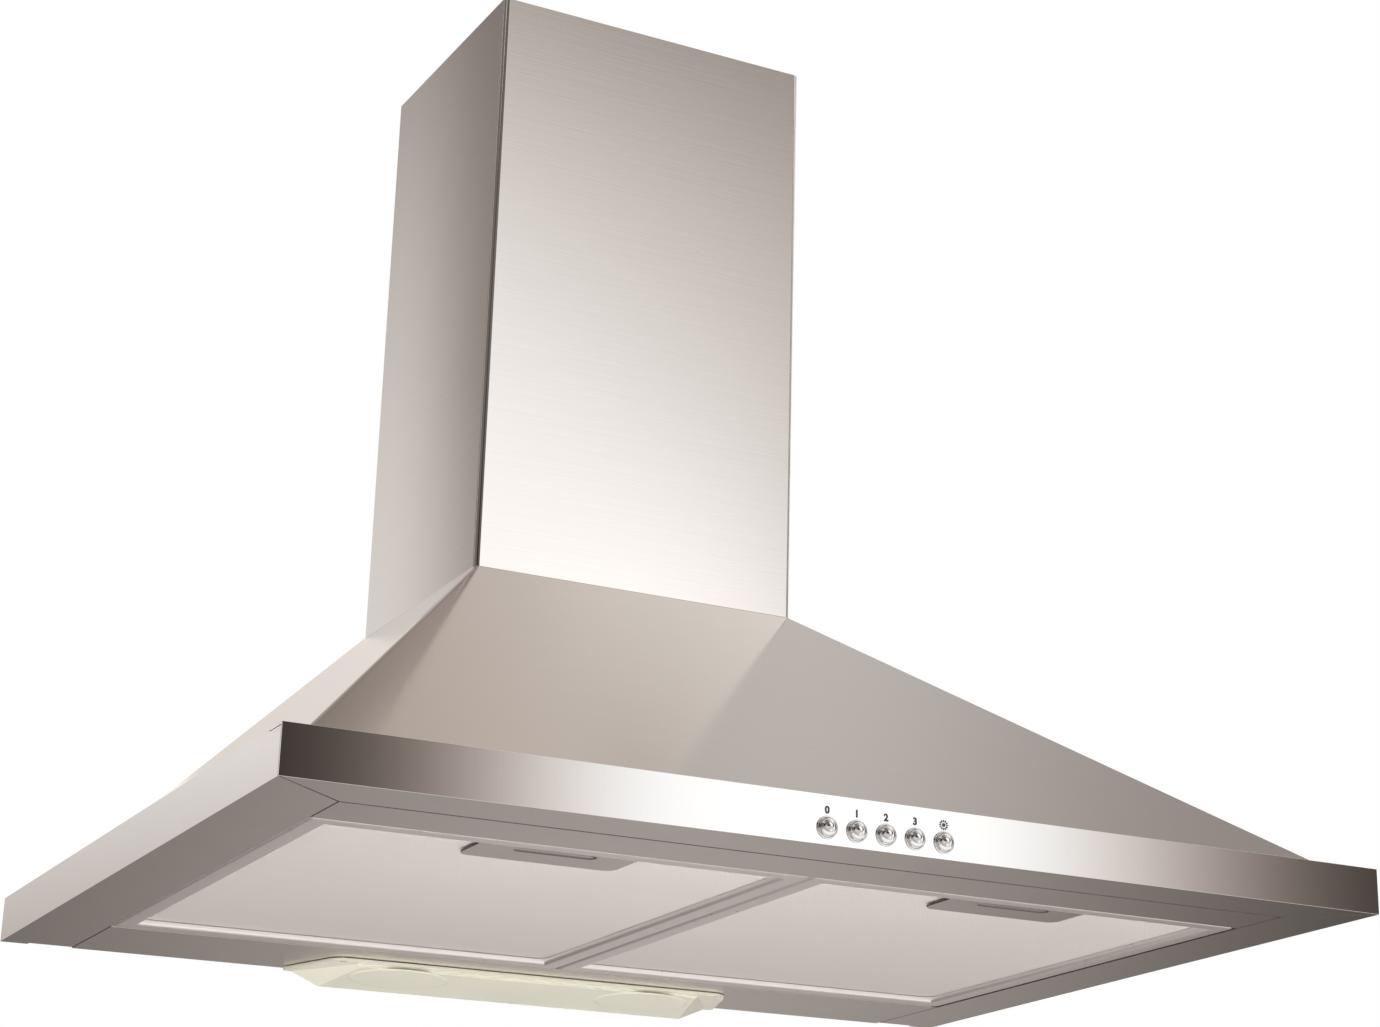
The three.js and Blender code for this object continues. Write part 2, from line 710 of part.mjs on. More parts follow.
function lampCover() {
  const flange = solid(prismZ(coverFlangeShape(), [-gap - coverFlange, -gap]));
  const holes = [-1, 1].map((side) => {
    const centre = [side * coverScrewX, coverScrewY];
    const hole = rod('z', screwRadius + gap, [-coverDrop, sheet], centre, 16);
    const sink = rod('z', screwHeadRadius + gap, [-coverDrop, coverScrewSink - gap - coverFlange], centre, 16);
    return hole.add(sink);
  });
  return cut(unite(flange, coverWedge(0, -gap - coverFlange / 2)), coverWedge(coverWall, sheet), ...holes);
}
add('lamp_cover', lampCover(), 'lampPlastic');

function coverScrew() {
  const seat = coverScrewSink - gap - coverFlange - gap;
  const low = seat - screwHeadHeight;
  const tip = seat + screwLength;
  return turned('z', [[0, low], [screwHeadRadius, low], [screwHeadRadius, seat], [screwRadius, seat],
    [screwRadius, tip], [0, tip]], 16);
}

const trayBottom = sheet + gap;
const trayTop = trayBottom + trayHeight;
const trayRearY = -rearStack - gap;
const trayFrontY = coverFrontY - coverBand;

function lampTray() {
  const outside = block([-trayHalfWidth, trayHalfWidth], [trayFrontY, trayRearY], [trayBottom, trayTop]);
  const inside = block([trayWall - trayHalfWidth, trayHalfWidth - trayWall],
    [trayFrontY + trayWall, trayRearY - trayWall], [trayBottom - trayWall, trayTop - trayWall]);
  return outside.subtract(inside);
}
add('lamp_tray', lampTray(), 'galvanised');

const holderOuterX = trayHalfWidth - trayWall - gap;
const holderInnerX = holderOuterX - holderLength;

function lampHolder(side) {
  const span = (a, b) => (side < 0 ? [-b, -a] : [a, b]);
  const body = rod('x', holderRadius, span(holderInnerX, holderOuterX), [lampY, lampHeight]);
  const socket = rod('x', bulbBaseRadius + gap, span(holderInnerX - sheet, holderOuterX - holderWall),
    [lampY, lampHeight]);
  return body.subtract(socket);
}

// Small tubular lamp along X, its round end towards the middle of the hood
function bulb(side) {
  const tip = holderInnerX - gap - bulbLength;
  const neck = holderInnerX - gap;
  const baseEnd = holderOuterX - holderWall - gap;
  const outline = [[0, tip]];
  const steps = 6;
  for (let step = 1; step <= steps; step += 1) {
    const angle = (Math.PI / 2) * step / steps;
    outline.push([bulbRadius * Math.sin(angle), tip + bulbRadius * (1 - Math.cos(angle))]);
  }
  outline.push([bulbRadius, neck - bulbRadius / 2], [bulbBaseRadius, neck],
    [bulbBaseRadius, baseEnd], [0, baseEnd]);
  const body = turned('x', outline, 24).translate([0, lampY, lampHeight]);
  return side < 0 ? body.rotate([0, 0, 180]).translate([0, 2 * lampY, 0]) : body;
}

for (const [side, name] of [[-1, 'left'], [1, 'right']]) {
  add(`lamp_holder_${name}`, lampHolder(side), 'whitePlastic');
  add(`bulb_${name}`, bulb(side), 'glass');
  const screw = add(`cover_screw_${name}`, coverScrew(), 'galvanised');
  screw.position.set(side * coverScrewX, coverScrewY, 0);
}

// ---- Blower ----

// Scroll outline in Y and Z, from the throat's rear wall round under the fan to its front wall
function scrollOutline(offset, top) {
  const points = [];
  const steps = 28;
  for (let step = 0; step <= steps; step += 1) {
    const turn = THREE.MathUtils.degToRad(scrollTurn * step / steps);
    const radius = THREE.MathUtils.lerp(scrollLarge, scrollSmall, step / steps) + offset;
    points.push([fanY + radius * Math.cos(turn), fanHeight - radius * Math.sin(turn)]);
  }
  points.push([fanY - throatFront - offset, top], [fanY + scrollLarge + offset, top]);
  return points;
}

function blowerHalf(side) {
  const span = (a, b) => (side < 0 ? [-b, -a] : [a, b]);
  const seam = gap / 2;
  const shell = prismX(scrollOutline(blowerWall, blowerTop), span(seam, blowerHalfWidth));
  const hollow = prismX(scrollOutline(0, blowerTop + blowerWall), span(-seam, blowerHalfWidth - blowerWall));
  const lipFront = fanY - throatFront - blowerWall - blowerLip;
  const lipRear = fanY + scrollLarge + blowerWall + blowerLip;
  const lip = block(span(seam, blowerHalfWidth + blowerLip), [lipFront, lipRear],
    [blowerTop - blowerLipThickness, blowerTop]);
  const intake = rod('x', intakeRadius, span(blowerHalfWidth - 2 * blowerWall, blowerHalfWidth + blowerWall),
    [fanY, fanHeight], 48);
  const glandRoom = rod('z', glandRadius + 2 * sheet, [blowerTop - 2 * blowerLipThickness, pyramidTop],
    [glandX, -glandInset], 24);
  return cut(unite(shell, lip), hollow, intake, glandRoom);
}
add('blower_housing_left', blowerHalf(-1), 'greyPlastic');
add('blower_housing_right', blowerHalf(1), 'greyPlastic');

function impeller() {
  const disc = rod('x', impellerRadius, [-sheet, sheet], [0, 0], 40);
  const hub = rod('x', hubRadius, [-hubRadius - sheet, sheet], [0, 0], 24);
  const rings = [-1, 1].map((side) => {
    const outerEnd = side * impellerHalfWidth;
    const innerEnd = side * (impellerHalfWidth - 2 * sheet);
    const ends = [Math.min(outerEnd, innerEnd), Math.max(outerEnd, innerEnd)];
    const bore = rod('x', impellerRadius - bladeDepth, [ends[0] - sheet, ends[1] + sheet], [0, 0], 40);
    return rod('x', impellerRadius, ends, [0, 0], 40).subtract(bore);
  });
  const blades = Array.from({ length: bladeCount }, (unused, index) => {
    const blade = new THREE.BoxGeometry(2 * impellerHalfWidth - 2, bladeThickness, bladeDepth);
    blade.rotateX(THREE.MathUtils.degToRad(bladeLean));
    blade.translate(0, 0, impellerRadius - bladeDepth / 2 - sheet);
    blade.rotateX(2 * Math.PI * index / bladeCount);
    return solid(blade);
  });
  const shaftHole = rod('x', shaftRadius + gap, [-2 * hubRadius, 2 * hubRadius], [0, 0], 16);
  return cut(unite(disc, hub, ...rings, ...blades), shaftHole);
}
add('impeller', impeller(), 'blackPlastic').position.set(0, fanY, fanHeight);

function motorBody() {
  const body = rod('x', motorRadius, [motorFace, motorFace + motorLength], [0, 0], 36);
  const bearing = rod('x', shaftRadius + gap, [motorFace - sheet, motorFace + motorBore], [0, 0], 16);
  return body.subtract(bearing);
}
add('motor_body', motorBody(), 'galvanised').position.set(0, fanY, fanHeight);

const shaft = rod('x', shaftRadius, [-hubRadius - 2 * sheet, motorFace + motorBore - gap], [0, 0], 16);
add('motor_shaft', shaft, 'galvanised').position.set(0, fanY, fanHeight);

// Ring over the intake, three arms and a ring round the motor
function motorBracket() {
  const faces = [blowerHalfWidth + gap, blowerHalfWidth + gap + spiderSheet];
  const through = [faces[0] - sheet, faces[1] + sheet];
  const tube = (outer, inner) => rod('x', outer, faces, [0, 0], 32)
    .subtract(rod('x', inner, through, [0, 0], 32));
  const innerRing = tube(motorRadius + spiderInnerRing, motorRadius + gap);
  const outerRing = tube(intakeRadius + spiderOuterRing, intakeRadius);
  const arms = [0, 1, 2].map((index) => {
    const reach = [motorRadius + spiderInnerRing / 2, intakeRadius + spiderOuterRing / 2];
    return block(faces, [-spiderArm / 2, spiderArm / 2], reach).rotate([120 * index, 0, 0]);
  });
  return unite(outerRing, innerRing, ...arms);
}
add('motor_bracket', motorBracket(), 'galvanised').position.set(0, fanY, fanHeight);

// ---- Duct collar and its damper ----

const damperBottom = damperSeat + gap;
const pinHeight = damperBottom + knuckleRadius;
const ductInner = ductRadius - ductWall;

function ductCollar() {
  const flange = rod('z', collarFlange / 2, [0, ductWall], [0, 0], 40);
  const tube = rod('z', ductRadius, [0, collarHeight], [0, 0], 40);
  const bore = rod('z', ductInner, [-sheet, collarHeight + sheet], [0, 0], 40);
  const seat = rod('z', ductInner + sheet, [damperSeat - sheet, damperSeat], [0, 0], 40)
    .subtract(rod('z', ductInner - seatRing, [0, collarHeight], [0, 0], 40));
  return flange.add(tube).subtract(bore).add(seat);
}

function damperFlap(side, offsets) {
  const disc = rod('z', ductInner - 2 * gap, [damperBottom, damperBottom + flapThickness], [0, 0], 40);
  const edge = knuckleRadius + gap;
  const keep = side < 0 ? [-ductRadius, -edge] : [edge, ductRadius];
  const plate = disc.intersect(block(keep, [-ductRadius, ductRadius], [0, collarHeight]));
  const webSpan = side < 0 ? [-edge - sheet, -knuckleRadius / 2] : [knuckleRadius / 2, edge + sheet];
  const joints = offsets.map((offset) => {
    const reach = [offset - knuckleLength / 2, offset + knuckleLength / 2];
    const knuckle = rod('y', knuckleRadius, reach, [0, pinHeight], 20);
    return knuckle.add(block(webSpan, reach, [damperBottom, damperBottom + knuckleRadius]));
  });
  const pinHole = rod('y', damperPinRadius + gap, [-ductRadius, ductRadius], [0, pinHeight], 20);
  return unite(plate, ...joints).subtract(pinHole);
}

const damperGroup = new THREE.Group();
damperGroup.position.set(0, ductY, chimneyBase);
hood.add(damperGroup);
add('duct_collar', ductCollar(), 'blackPlastic', damperGroup);
add('damper_flap_left', damperFlap(-1, knuckleOffsets.left), 'greyPlastic', damperGroup);
add('damper_flap_right', damperFlap(1, knuckleOffsets.right), 'greyPlastic', damperGroup);
const pinHalf = Math.sqrt(ductInner ** 2 - damperPinRadius ** 2) - gap;
const damperPin = rod('y', damperPinRadius, [-pinHalf, pinHalf], [0, pinHeight], 12);
add('damper_pin', damperPin, 'galvanised', damperGroup);

// ---- Electrical parts ----

const panelFrontY = -sheet - gap;
const terminalX = terminalMargin + terminalWidth / 2 - backWindowHalf(terminalBottom + terminalHeight);
const terminalFrontY = panelFrontY - terminalDepth;
const terminalSpan = [terminalX - terminalWidth / 2, terminalX + terminalWidth / 2];

function terminalBox() {
  const levels = [terminalBottom, terminalBottom + terminalHeight];
  const outside = block(terminalSpan, [terminalFrontY, panelFrontY], levels);
  const inside = block([terminalSpan[0] + terminalWall, terminalSpan[1] - terminalWall],
    [terminalFrontY - terminalWall, panelFrontY - terminalWall],
    [levels[0] + terminalWall, levels[1] - terminalWall]);
  return outside.subtract(inside);
}
add('terminal_box', terminalBox(), 'whitePlastic');

function terminalLid() {
  const rear = terminalFrontY - gap;
  const top = terminalBottom + terminalHeight;
  const face = block(terminalSpan, [rear - terminalWall, rear], [terminalBottom, top]);
  const inset = terminalWall + gap;
  const spigot = block([terminalSpan[0] + inset, terminalSpan[1] - inset],
    [rear - sheet, rear + 2 * terminalWall], [terminalBottom + inset, top - inset]);
  return face.add(spigot);
}
add('terminal_box_lid', terminalLid(), 'whitePlastic');

const capacitor = rod('z', capacitorRadius, [capacitorBottom, capacitorBottom + capacitorLength],
  [capacitorX, panelFrontY - capacitorRadius], 32);
add('capacitor', capacitor, 'whitePlastic');

function cableGland() {
  const flangeTop = pyramidTop + gap + ductWall;
  const bore = cordRadius + gap;
  return turned('z', [[bore, pyramidTop - 3 * sheet], [glandRadius, pyramidTop - 3 * sheet],
    [glandRadius, pyramidTop + gap], [glandRadius + glandFlange, pyramidTop + gap],
    [glandRadius + glandFlange, flangeTop],
    [glandRadius - 1, flangeTop + 6], [bore, flangeTop + 6], [bore, pyramidTop - 3 * sheet]], 24);
}
add('cable_gland', cableGland(), 'blackPlastic').position.set(glandX, -glandInset, 0);

// Cable along a smooth route, ending square to what it meets
function cable(points, steps) {
  const route = new THREE.CatmullRomCurve3(points.map((point) => new THREE.Vector3(...point)), false,
    'centripetal');
  const section = new THREE.Shape();
  section.absarc(0, 0, cableRadius, 0, 2 * Math.PI);
  const geometry = new THREE.ExtrudeGeometry(section, { steps, extrudePath: route, curveSegments: 4 });
  return solid(geometry);
}

const channelX = -(openHalf + halfWidth) / 2;
const channelZ = 4 * sheet + cableRadius;
const channelY = (openFrontY + stripRearY) / 2;
const bundleX = terminalX - terminalWidth / 4;
const boxEntry = terminalBottom - gap;
const switchRearY = switchFrontY + switchDepth + gap;
const switchExitX = -switchHalf / 2;

add('switch_cable', cable([
  [switchExitX, switchRearY, buttonHeight],
  [switchExitX, switchRearY + 4, buttonHeight],
  [switchExitX - 20, channelY, channelZ],
  [channelX + 30, channelY, channelZ],
  [channelX, channelY + 30, channelZ],
  [channelX, rearStripY - 20, channelZ],
  [channelX + 20, rearStripY + 20, channelZ + 8],
  [bundleX - 40, panelFrontY - terminalDepth / 2, terminalBottom / 2],
  [bundleX, panelFrontY - terminalDepth / 2, boxEntry - 8],
  [bundleX, panelFrontY - terminalDepth / 2, boxEntry],
], 40), 'whitePlastic');

const lampExitX = -trayHalfWidth - gap;
const lampEntryX = terminalX;
add('lamp_cable', cable([
  [lampExitX, lampY, lampHeight],
  [lampExitX - 2, lampY, lampHeight],
  [lampEntryX, lampY, boxEntry - 12],
  [lampEntryX, lampY, boxEntry],
], 10), 'whitePlastic');

const motorEndX = motorFace + motorLength + gap;
const capacitorTop = capacitorBottom + capacitorLength;
add('motor_cable', cable([
  [motorEndX, fanY, fanHeight + motorRadius / 2],
  [motorEndX + 6, fanY, fanHeight + motorRadius / 2],
  [capacitorX, fanY / 2, capacitorTop + 18],
  [capacitorX, panelFrontY - capacitorRadius, capacitorTop + 8],
  [capacitorX, panelFrontY - capacitorRadius, capacitorTop + gap],
], 16), 'whitePlastic');

export default hood;
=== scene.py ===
import json
import math

import bmesh
import bpy
from mathutils import Matrix, Vector


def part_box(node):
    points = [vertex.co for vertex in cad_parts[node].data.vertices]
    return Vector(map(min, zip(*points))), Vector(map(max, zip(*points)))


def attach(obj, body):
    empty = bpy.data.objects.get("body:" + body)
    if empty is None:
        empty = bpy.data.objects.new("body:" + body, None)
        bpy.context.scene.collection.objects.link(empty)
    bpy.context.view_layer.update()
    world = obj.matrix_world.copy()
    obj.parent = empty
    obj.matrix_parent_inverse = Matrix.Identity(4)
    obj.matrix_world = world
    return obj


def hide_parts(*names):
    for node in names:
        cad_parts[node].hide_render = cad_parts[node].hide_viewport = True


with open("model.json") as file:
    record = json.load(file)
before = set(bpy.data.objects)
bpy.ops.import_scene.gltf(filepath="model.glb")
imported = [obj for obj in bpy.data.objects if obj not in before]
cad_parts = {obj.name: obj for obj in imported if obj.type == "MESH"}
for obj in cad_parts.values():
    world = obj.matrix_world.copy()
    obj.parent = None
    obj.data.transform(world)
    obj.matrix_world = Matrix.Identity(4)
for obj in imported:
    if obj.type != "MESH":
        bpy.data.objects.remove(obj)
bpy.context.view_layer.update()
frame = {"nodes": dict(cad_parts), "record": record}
nodes = frame["nodes"]
record = frame["record"]
slotOf = {part["node"]: part["material_slot"] for part in record["subparts"]}
bodyOf = {node: body for body, names in record["behaviour"]["bodies"].items() for node in names}
print("frame loaded with", len(nodes), "nodes")

mm = 0.001
white = (1, 1, 1, 1)


# Shader helpers

def setInputs(tree, node, values):  # each value is another node's output, or a plain one
    for key, value in values.items():
        if isinstance(value, bpy.types.NodeSocket):
            tree.links.new(value, node.inputs[key])
        else:
            node.inputs[key].default_value = value


def addNode(tree, kind, values=None, **settings):
    node = tree.nodes.new("ShaderNode" + kind)
    for key, value in settings.items():
        setattr(node, key, value)
    setInputs(tree, node, values or {})
    return node


def calc(tree, operation, *values):
    return addNode(tree, "Math", dict(enumerate(values)), operation=operation).outputs[0]


def ramp(tree, value, start, stop, low=0.0, high=1.0, **settings):  # low at start, high at stop
    node = addNode(tree, "MapRange", {"Value": value, "From Min": start, "From Max": stop,
                                      "To Min": low, "To Max": high}, **settings)
    return node.outputs["Result"]


def spread(tree, value, low, high):  # turns 0..1 into low..high
    return ramp(tree, value, 0.0, 1.0, low, high)


def mixColour(tree, share, first, second):
    return addNode(tree, "Mix", {0: share, 6: first, 7: second}, data_type="RGBA").outputs[2]


def noise(tree, place, scale, detail, **more):
    values = {"Vector": place, "Scale": scale, "Detail": detail, **more}
    return addNode(tree, "TexNoise", values).outputs["Fac"]


def ownPlace(tree):
    return addNode(tree, "TexCoord").outputs["Object"]


def addBump(tree, shader, height, strength, deep):
    bump = addNode(tree, "Bump", {"Strength": strength, "Distance": deep, "Height": height})
    setInputs(tree, shader, {"Normal": bump.outputs["Normal"]})


def newGroup(name, inputs, outputs):
    group = bpy.data.node_groups.new(name, "ShaderNodeTree")
    for label, kind, value in inputs:
        socket = group.interface.new_socket(name=label, in_out="INPUT",
                                            socket_type="NodeSocket" + kind)
        socket.default_value = value
    for label in outputs:
        group.interface.new_socket(name=label, in_out="OUTPUT", socket_type="NodeSocketFloat")
    given = group.nodes.new("NodeGroupInput").outputs
    return group, given, group.nodes.new("NodeGroupOutput")


brushed = {"stretch": (14, 14, 1400), "detail": 4.0, "crisp": 0.65, "patch": 7.0,
           "patchDetail": 2.0}


# Long fine lines left by the brushing, and the slow change of tone along a sheet
def brushedLines(look):
    group, given, result = newGroup("brushedLines", [("Stretch", "Vector", look["stretch"])],
                                    ["Lines", "Patches"])
    place = ownPlace(group)
    drawn = addNode(group, "VectorMath", {0: place, 1: given["Stretch"]}, operation="MULTIPLY")
    lines = noise(group, drawn.outputs[0], 1.0, look["detail"], Roughness=look["crisp"])
    patches = noise(group, place, look["patch"], look["patchDetail"])
    setInputs(group, result, {"Lines": lines, "Patches": patches})
    return group


# Flat and bent say how alike the face's own direction and a rounded one are
wornEdges = {"radius": 0.4 * mm, "samples": 4, "flat": 0.99, "bent": 0.86, "rub": 160.0,
             "rubDetail": 3.0, "rubbed": (0.35, 0.6)}


# Bright rubbed edges, broken up by a noise
def edgeWear(look):
    inputs = [("Radius", "Float", look["radius"]), ("Amount", "Float", 1.0)]
    group, given, result = newGroup("edgeWear", inputs, ["Wear"])
    rounded = addNode(group, "Bevel", {"Radius": given["Radius"]}, samples=look["samples"])
    flat = addNode(group, "NewGeometry")
    alike = addNode(group, "VectorMath", {0: rounded.outputs[0], 1: flat.outputs["Normal"]},
                    operation="DOT_PRODUCT")
    bent = ramp(group, alike.outputs["Value"], look["flat"], look["bent"])
    rub = noise(group, ownPlace(group), look["rub"], look["rubDetail"])
    worn = calc(group, "MULTIPLY", bent, ramp(group, rub, *look["rubbed"]))
    setInputs(group, result, {"Wear": calc(group, "MULTIPLY", worn, given["Amount"])})
    return group


wiping = {"scale": 16.0, "detail": 5.0, "crisp": 0.7, "swirl": 1.4, "seen": (0.45, 0.75)}


# Faint wiped streaks and finger marks
def wipeMarks(look):
    group, given, result = newGroup("wipeMarks", [("Scale", "Float", look["scale"])], ["Marks"])
    swirl = noise(group, ownPlace(group), given["Scale"], look["detail"],
                  Roughness=look["crisp"], Distortion=look["swirl"])
    setInputs(group, result, {"Marks": ramp(group, swirl, *look["seen"])})
    return group


# Crystal flakes of a zinc coat
def zincFlakes(scale):
    group, given, result = newGroup("zincFlakes", [("Scale", "Float", scale)], ["Flake", "Edge"])
    values = {"Vector": ownPlace(group), "Scale": given["Scale"]}
    cells = addNode(group, "TexVoronoi", values)
    rims = addNode(group, "TexVoronoi", values, feature="DISTANCE_TO_EDGE")
    tone = addNode(group, "SeparateColor", {"Color": cells.outputs["Color"]})
    setInputs(group, result, {"Flake": tone.outputs[0], "Edge": rims.outputs["Distance"]})
    return group


moulded = {"scale": 1800.0, "detail": 2.0, "tone": 22.0, "toneDetail": 3.0}


# Fine moulded texture of plastic
def mouldGrain(look):
    group, given, result = newGroup("mouldGrain", [("Scale", "Float", look["scale"])],
                                    ["Height", "Tone"])
    place = ownPlace(group)
    height = noise(group, place, given["Scale"], look["detail"])
    tone = noise(group, place, look["tone"], look["toneDetail"])
    setInputs(group, result, {"Height": height, "Tone": tone})
    return group


groups = {"lines": brushedLines(brushed), "wear": edgeWear(wornEdges), "wipe": wipeMarks(wiping),
          "zinc": zincFlakes(120.0), "mould": mouldGrain(moulded)}


def useGroup(tree, name, **values):
    node = tree.nodes.new("ShaderNodeGroup")
    node.node_tree = groups[name]
    setInputs(tree, node, values)
    return node.outputs


def blankMaterial(name):
    material = bpy.data.materials.new(name)
    material.use_nodes = True
    tree = material.node_tree
    return material, tree, tree.nodes["Principled BSDF"]


def toned(colour, share):
    return tuple(value * share for value in colour[:3]) + (1.0,)


# Stretch is how finely the brushing is drawn along x, y and z: the sheets are brushed level,
# and those under the rim along their own length
steel = (0.82, 0.765, 0.72, 1)
metals = {
    "steelLevel": {"colour": steel, "rough": 0.10, "stretch": (14, 14, 1400), "bump": 0.08,
                   "lines": 0.05, "wear": 0.2},
    "steelAlongX": {"colour": steel, "rough": 0.20, "stretch": (14, 1400, 14), "bump": 0.08,
                    "lines": 0.05, "wear": 0.2},
    "steelAlongY": {"colour": steel, "rough": 0.20, "stretch": (1400, 14, 14), "bump": 0.08,
                    "lines": 0.05, "wear": 0.2},
    "polishedSteel": {"colour": (0.90, 0.865, 0.83, 1), "rough": 0.06, "stretch": (2400, 5, 5),
                      "bump": 0.01, "lines": 0.02, "wear": 0.2},
    "frameAluminium": {"colour": (0.84, 0.785, 0.745, 1), "rough": 0.28,
                       "stretch": (200, 200, 200), "bump": 0.03, "lines": 0.04, "wear": 0.5,
                       "metallic": 0.8},
    "chrome": {"colour": (0.90, 0.89, 0.88, 1), "rough": 0.03, "stretch": (60, 60, 60),
               "bump": 0.0, "lines": 0.01, "wear": 0.0},
    "turnedSteel": {"colour": (0.60, 0.58, 0.56, 1), "rough": 0.28, "stretch": (900, 60, 60),
                    "bump": 0.05, "lines": 0.06, "wear": 0.5},
}
metalUse = {"patches": 0.06, "patchTone": 0.8, "worn": (0.95, 0.94, 0.92, 1), "ground": 0.02,
            "wiped": 0.12, "rubbed": 0.3, "deep": 0.2 * mm}


def metalMaterial(name, look):
    material, tree, shader = blankMaterial(name)
    lines = useGroup(tree, "lines", Stretch=look["stretch"])
    worn = useGroup(tree, "wear", Amount=look["wear"])["Wear"]
    wiped = useGroup(tree, "wipe")["Marks"]
    base, uneven, rough = look["colour"], look["lines"], look["rough"]
    tone = mixColour(tree, lines["Lines"], toned(base, 1 - uneven), toned(base, 1 + uneven))
    patches = spread(tree, lines["Patches"], 0.0, metalUse["patches"])
    tone = mixColour(tree, patches, tone, toned(base, metalUse["patchTone"]))
    tone = mixColour(tree, worn, tone, metalUse["worn"])
    drawn = spread(tree, lines["Lines"], 0.0, uneven)
    gloss = calc(tree, "ADD", rough - metalUse["ground"], drawn)
    gloss = calc(tree, "ADD", gloss, spread(tree, wiped, 0.0, rough * metalUse["wiped"]))
    gloss = calc(tree, "SUBTRACT", gloss, spread(tree, worn, 0.0, rough * metalUse["rubbed"]))
    setInputs(tree, shader, {"Base Color": tone, "Roughness": gloss,
                             "Metallic": look.get("metallic", 1.0)})
    addBump(tree, shader, lines["Lines"], look["bump"], metalUse["deep"])
    return material


zincLook = {"colour": (0.56, 0.57, 0.58, 1), "flakes": 0.18, "wipe": 9.0, "dull": 0.3,
            "dullTone": 0.7, "rough": (0.32, 0.52), "metallic": 0.95, "rim": 0.08, "bump": 0.12,
            "deep": 0.1 * mm}


def zincMaterial(name, look):
    material, tree, shader = blankMaterial(name)
    flakes = useGroup(tree, "zinc")
    wiped = useGroup(tree, "wipe", Scale=look["wipe"])["Marks"]
    base, change = look["colour"], look["flakes"]
    tone = mixColour(tree, flakes["Flake"], toned(base, 1 - change), toned(base, 1 + change))
    dull = spread(tree, wiped, 0.0, look["dull"])
    tone = mixColour(tree, dull, tone, toned(base, look["dullTone"]))
    gloss = spread(tree, flakes["Flake"], *look["rough"])
    setInputs(tree, shader, {"Base Color": tone, "Roughness": gloss,
                             "Metallic": look["metallic"]})
    addBump(tree, shader, ramp(tree, flakes["Edge"], 0.0, look["rim"]), look["bump"], look["deep"])
    return material


plastics = {
    "lampPlastic": {"colour": (0.74, 0.715, 0.585, 1), "rough": 0.22, "grain": 0.02,
                    "coat": 0.4, "glow": 0.25},
    "blackPlastic": {"colour": (0.022, 0.022, 0.024, 1), "rough": 0.46, "grain": 0.25,
                     "coat": 0.0, "glow": 0.0},
    "greyPlastic": {"colour": (0.27, 0.28, 0.29, 1), "rough": 0.5, "grain": 0.3,
                    "coat": 0.0, "glow": 0.0},
    "whitePlastic": {"colour": (0.76, 0.75, 0.71, 1), "rough": 0.36, "grain": 0.12,
                     "coat": 0.1, "glow": 0.05},
    "printInk": {"colour": (0.05, 0.047, 0.045, 1), "rough": 0.5, "grain": 0.1,
                 "coat": 0.0, "glow": 0.0},
    "seamShade": {"colour": (0.055, 0.046, 0.042, 1), "rough": 0.75, "grain": 0.1,
                  "coat": 0.0, "glow": 0.0},
}
plasticUse = {"dark": 0.94, "pale": 1.05, "wear": 0.35, "worn": (0.8, 0.8, 0.78, 1),
              "wornShare": 0.5, "smoother": 0.05, "rougher": 0.06, "coatRough": 0.08,
              "glowReach": (0.004, 0.004, 0.0025), "deep": 0.1 * mm}


def plasticMaterial(name, look):
    material, tree, shader = blankMaterial(name)
    mould = useGroup(tree, "mould")
    worn = useGroup(tree, "wear", Amount=plasticUse["wear"])["Wear"]
    base, rough = look["colour"], look["rough"]
    tone = mixColour(tree, mould["Tone"], toned(base, plasticUse["dark"]),
                     toned(base, plasticUse["pale"]))
    rubbed = mixColour(tree, plasticUse["wornShare"], base, plasticUse["worn"])
    gloss = spread(tree, mould["Tone"], rough - plasticUse["smoother"],
                   rough + plasticUse["rougher"])
    setInputs(tree, shader, {
        "Base Color": mixColour(tree, worn, tone, rubbed), "Roughness": gloss,
        "Coat Weight": look["coat"], "Coat Roughness": plasticUse["coatRough"],
        "Subsurface Weight": look["glow"], "Subsurface Radius": plasticUse["glowReach"]})
    addBump(tree, shader, mould["Height"], look["grain"], plasticUse["deep"])
    return material


# Front and rear are the places along y, in metres, between which painted shade makes the filters
# greyer
meshLook = {"colour": (0.79, 0.718, 0.674, 1), "strand": (770.0, 462.0, 1), "random": 0.25,
            "hole": (0.2, 0.6), "holeTone": 0.8, "patch": 11.0, "patchDetail": 3.0,
            "dark": 0.93, "pale": 1.05, "front": -0.36, "rear": -0.09, "rearShade": 0.9,
            "rearShadeTone": 0.7, "rough": (0.4, 0.52), "metallic": 0.2, "bump": 0.2,
            "deep": 0.1 * mm}


# Expanded aluminium: small strands in rows along the ribs
def meshMaterial(name, look):
    material, tree, shader = blankMaterial(name)
    place = ownPlace(tree)
    sized = addNode(tree, "Mapping", {"Vector": place, "Scale": look["strand"]})
    cells = addNode(tree, "TexVoronoi", {"Vector": sized.outputs[0], "Scale": 1.0,
                                         "Randomness": look["random"]}, voronoi_dimensions="2D")
    hole = ramp(tree, cells.outputs["Distance"], *look["hole"])
    slow = noise(tree, place, look["patch"], look["patchDetail"])
    base = look["colour"]
    strands = mixColour(tree, slow, toned(base, look["dark"]), toned(base, look["pale"]))
    depth = addNode(tree, "SeparateXYZ", {0: place}).outputs[1]
    # painted shade: the filters' colour darkens towards the rear along y, where less light falls
    rearShade = ramp(tree, depth, look["front"], look["rear"], high=look["rearShade"])
    strands = mixColour(tree, rearShade, strands, toned(base, look["rearShadeTone"]))
    tone = mixColour(tree, hole, strands, toned(base, look["holeTone"]))
    gloss = spread(tree, slow, *look["rough"])
    setInputs(tree, shader, {"Base Color": tone, "Roughness": gloss,
                             "Metallic": look["metallic"]})
    addBump(tree, shader, hole, look["bump"], look["deep"])
    return material


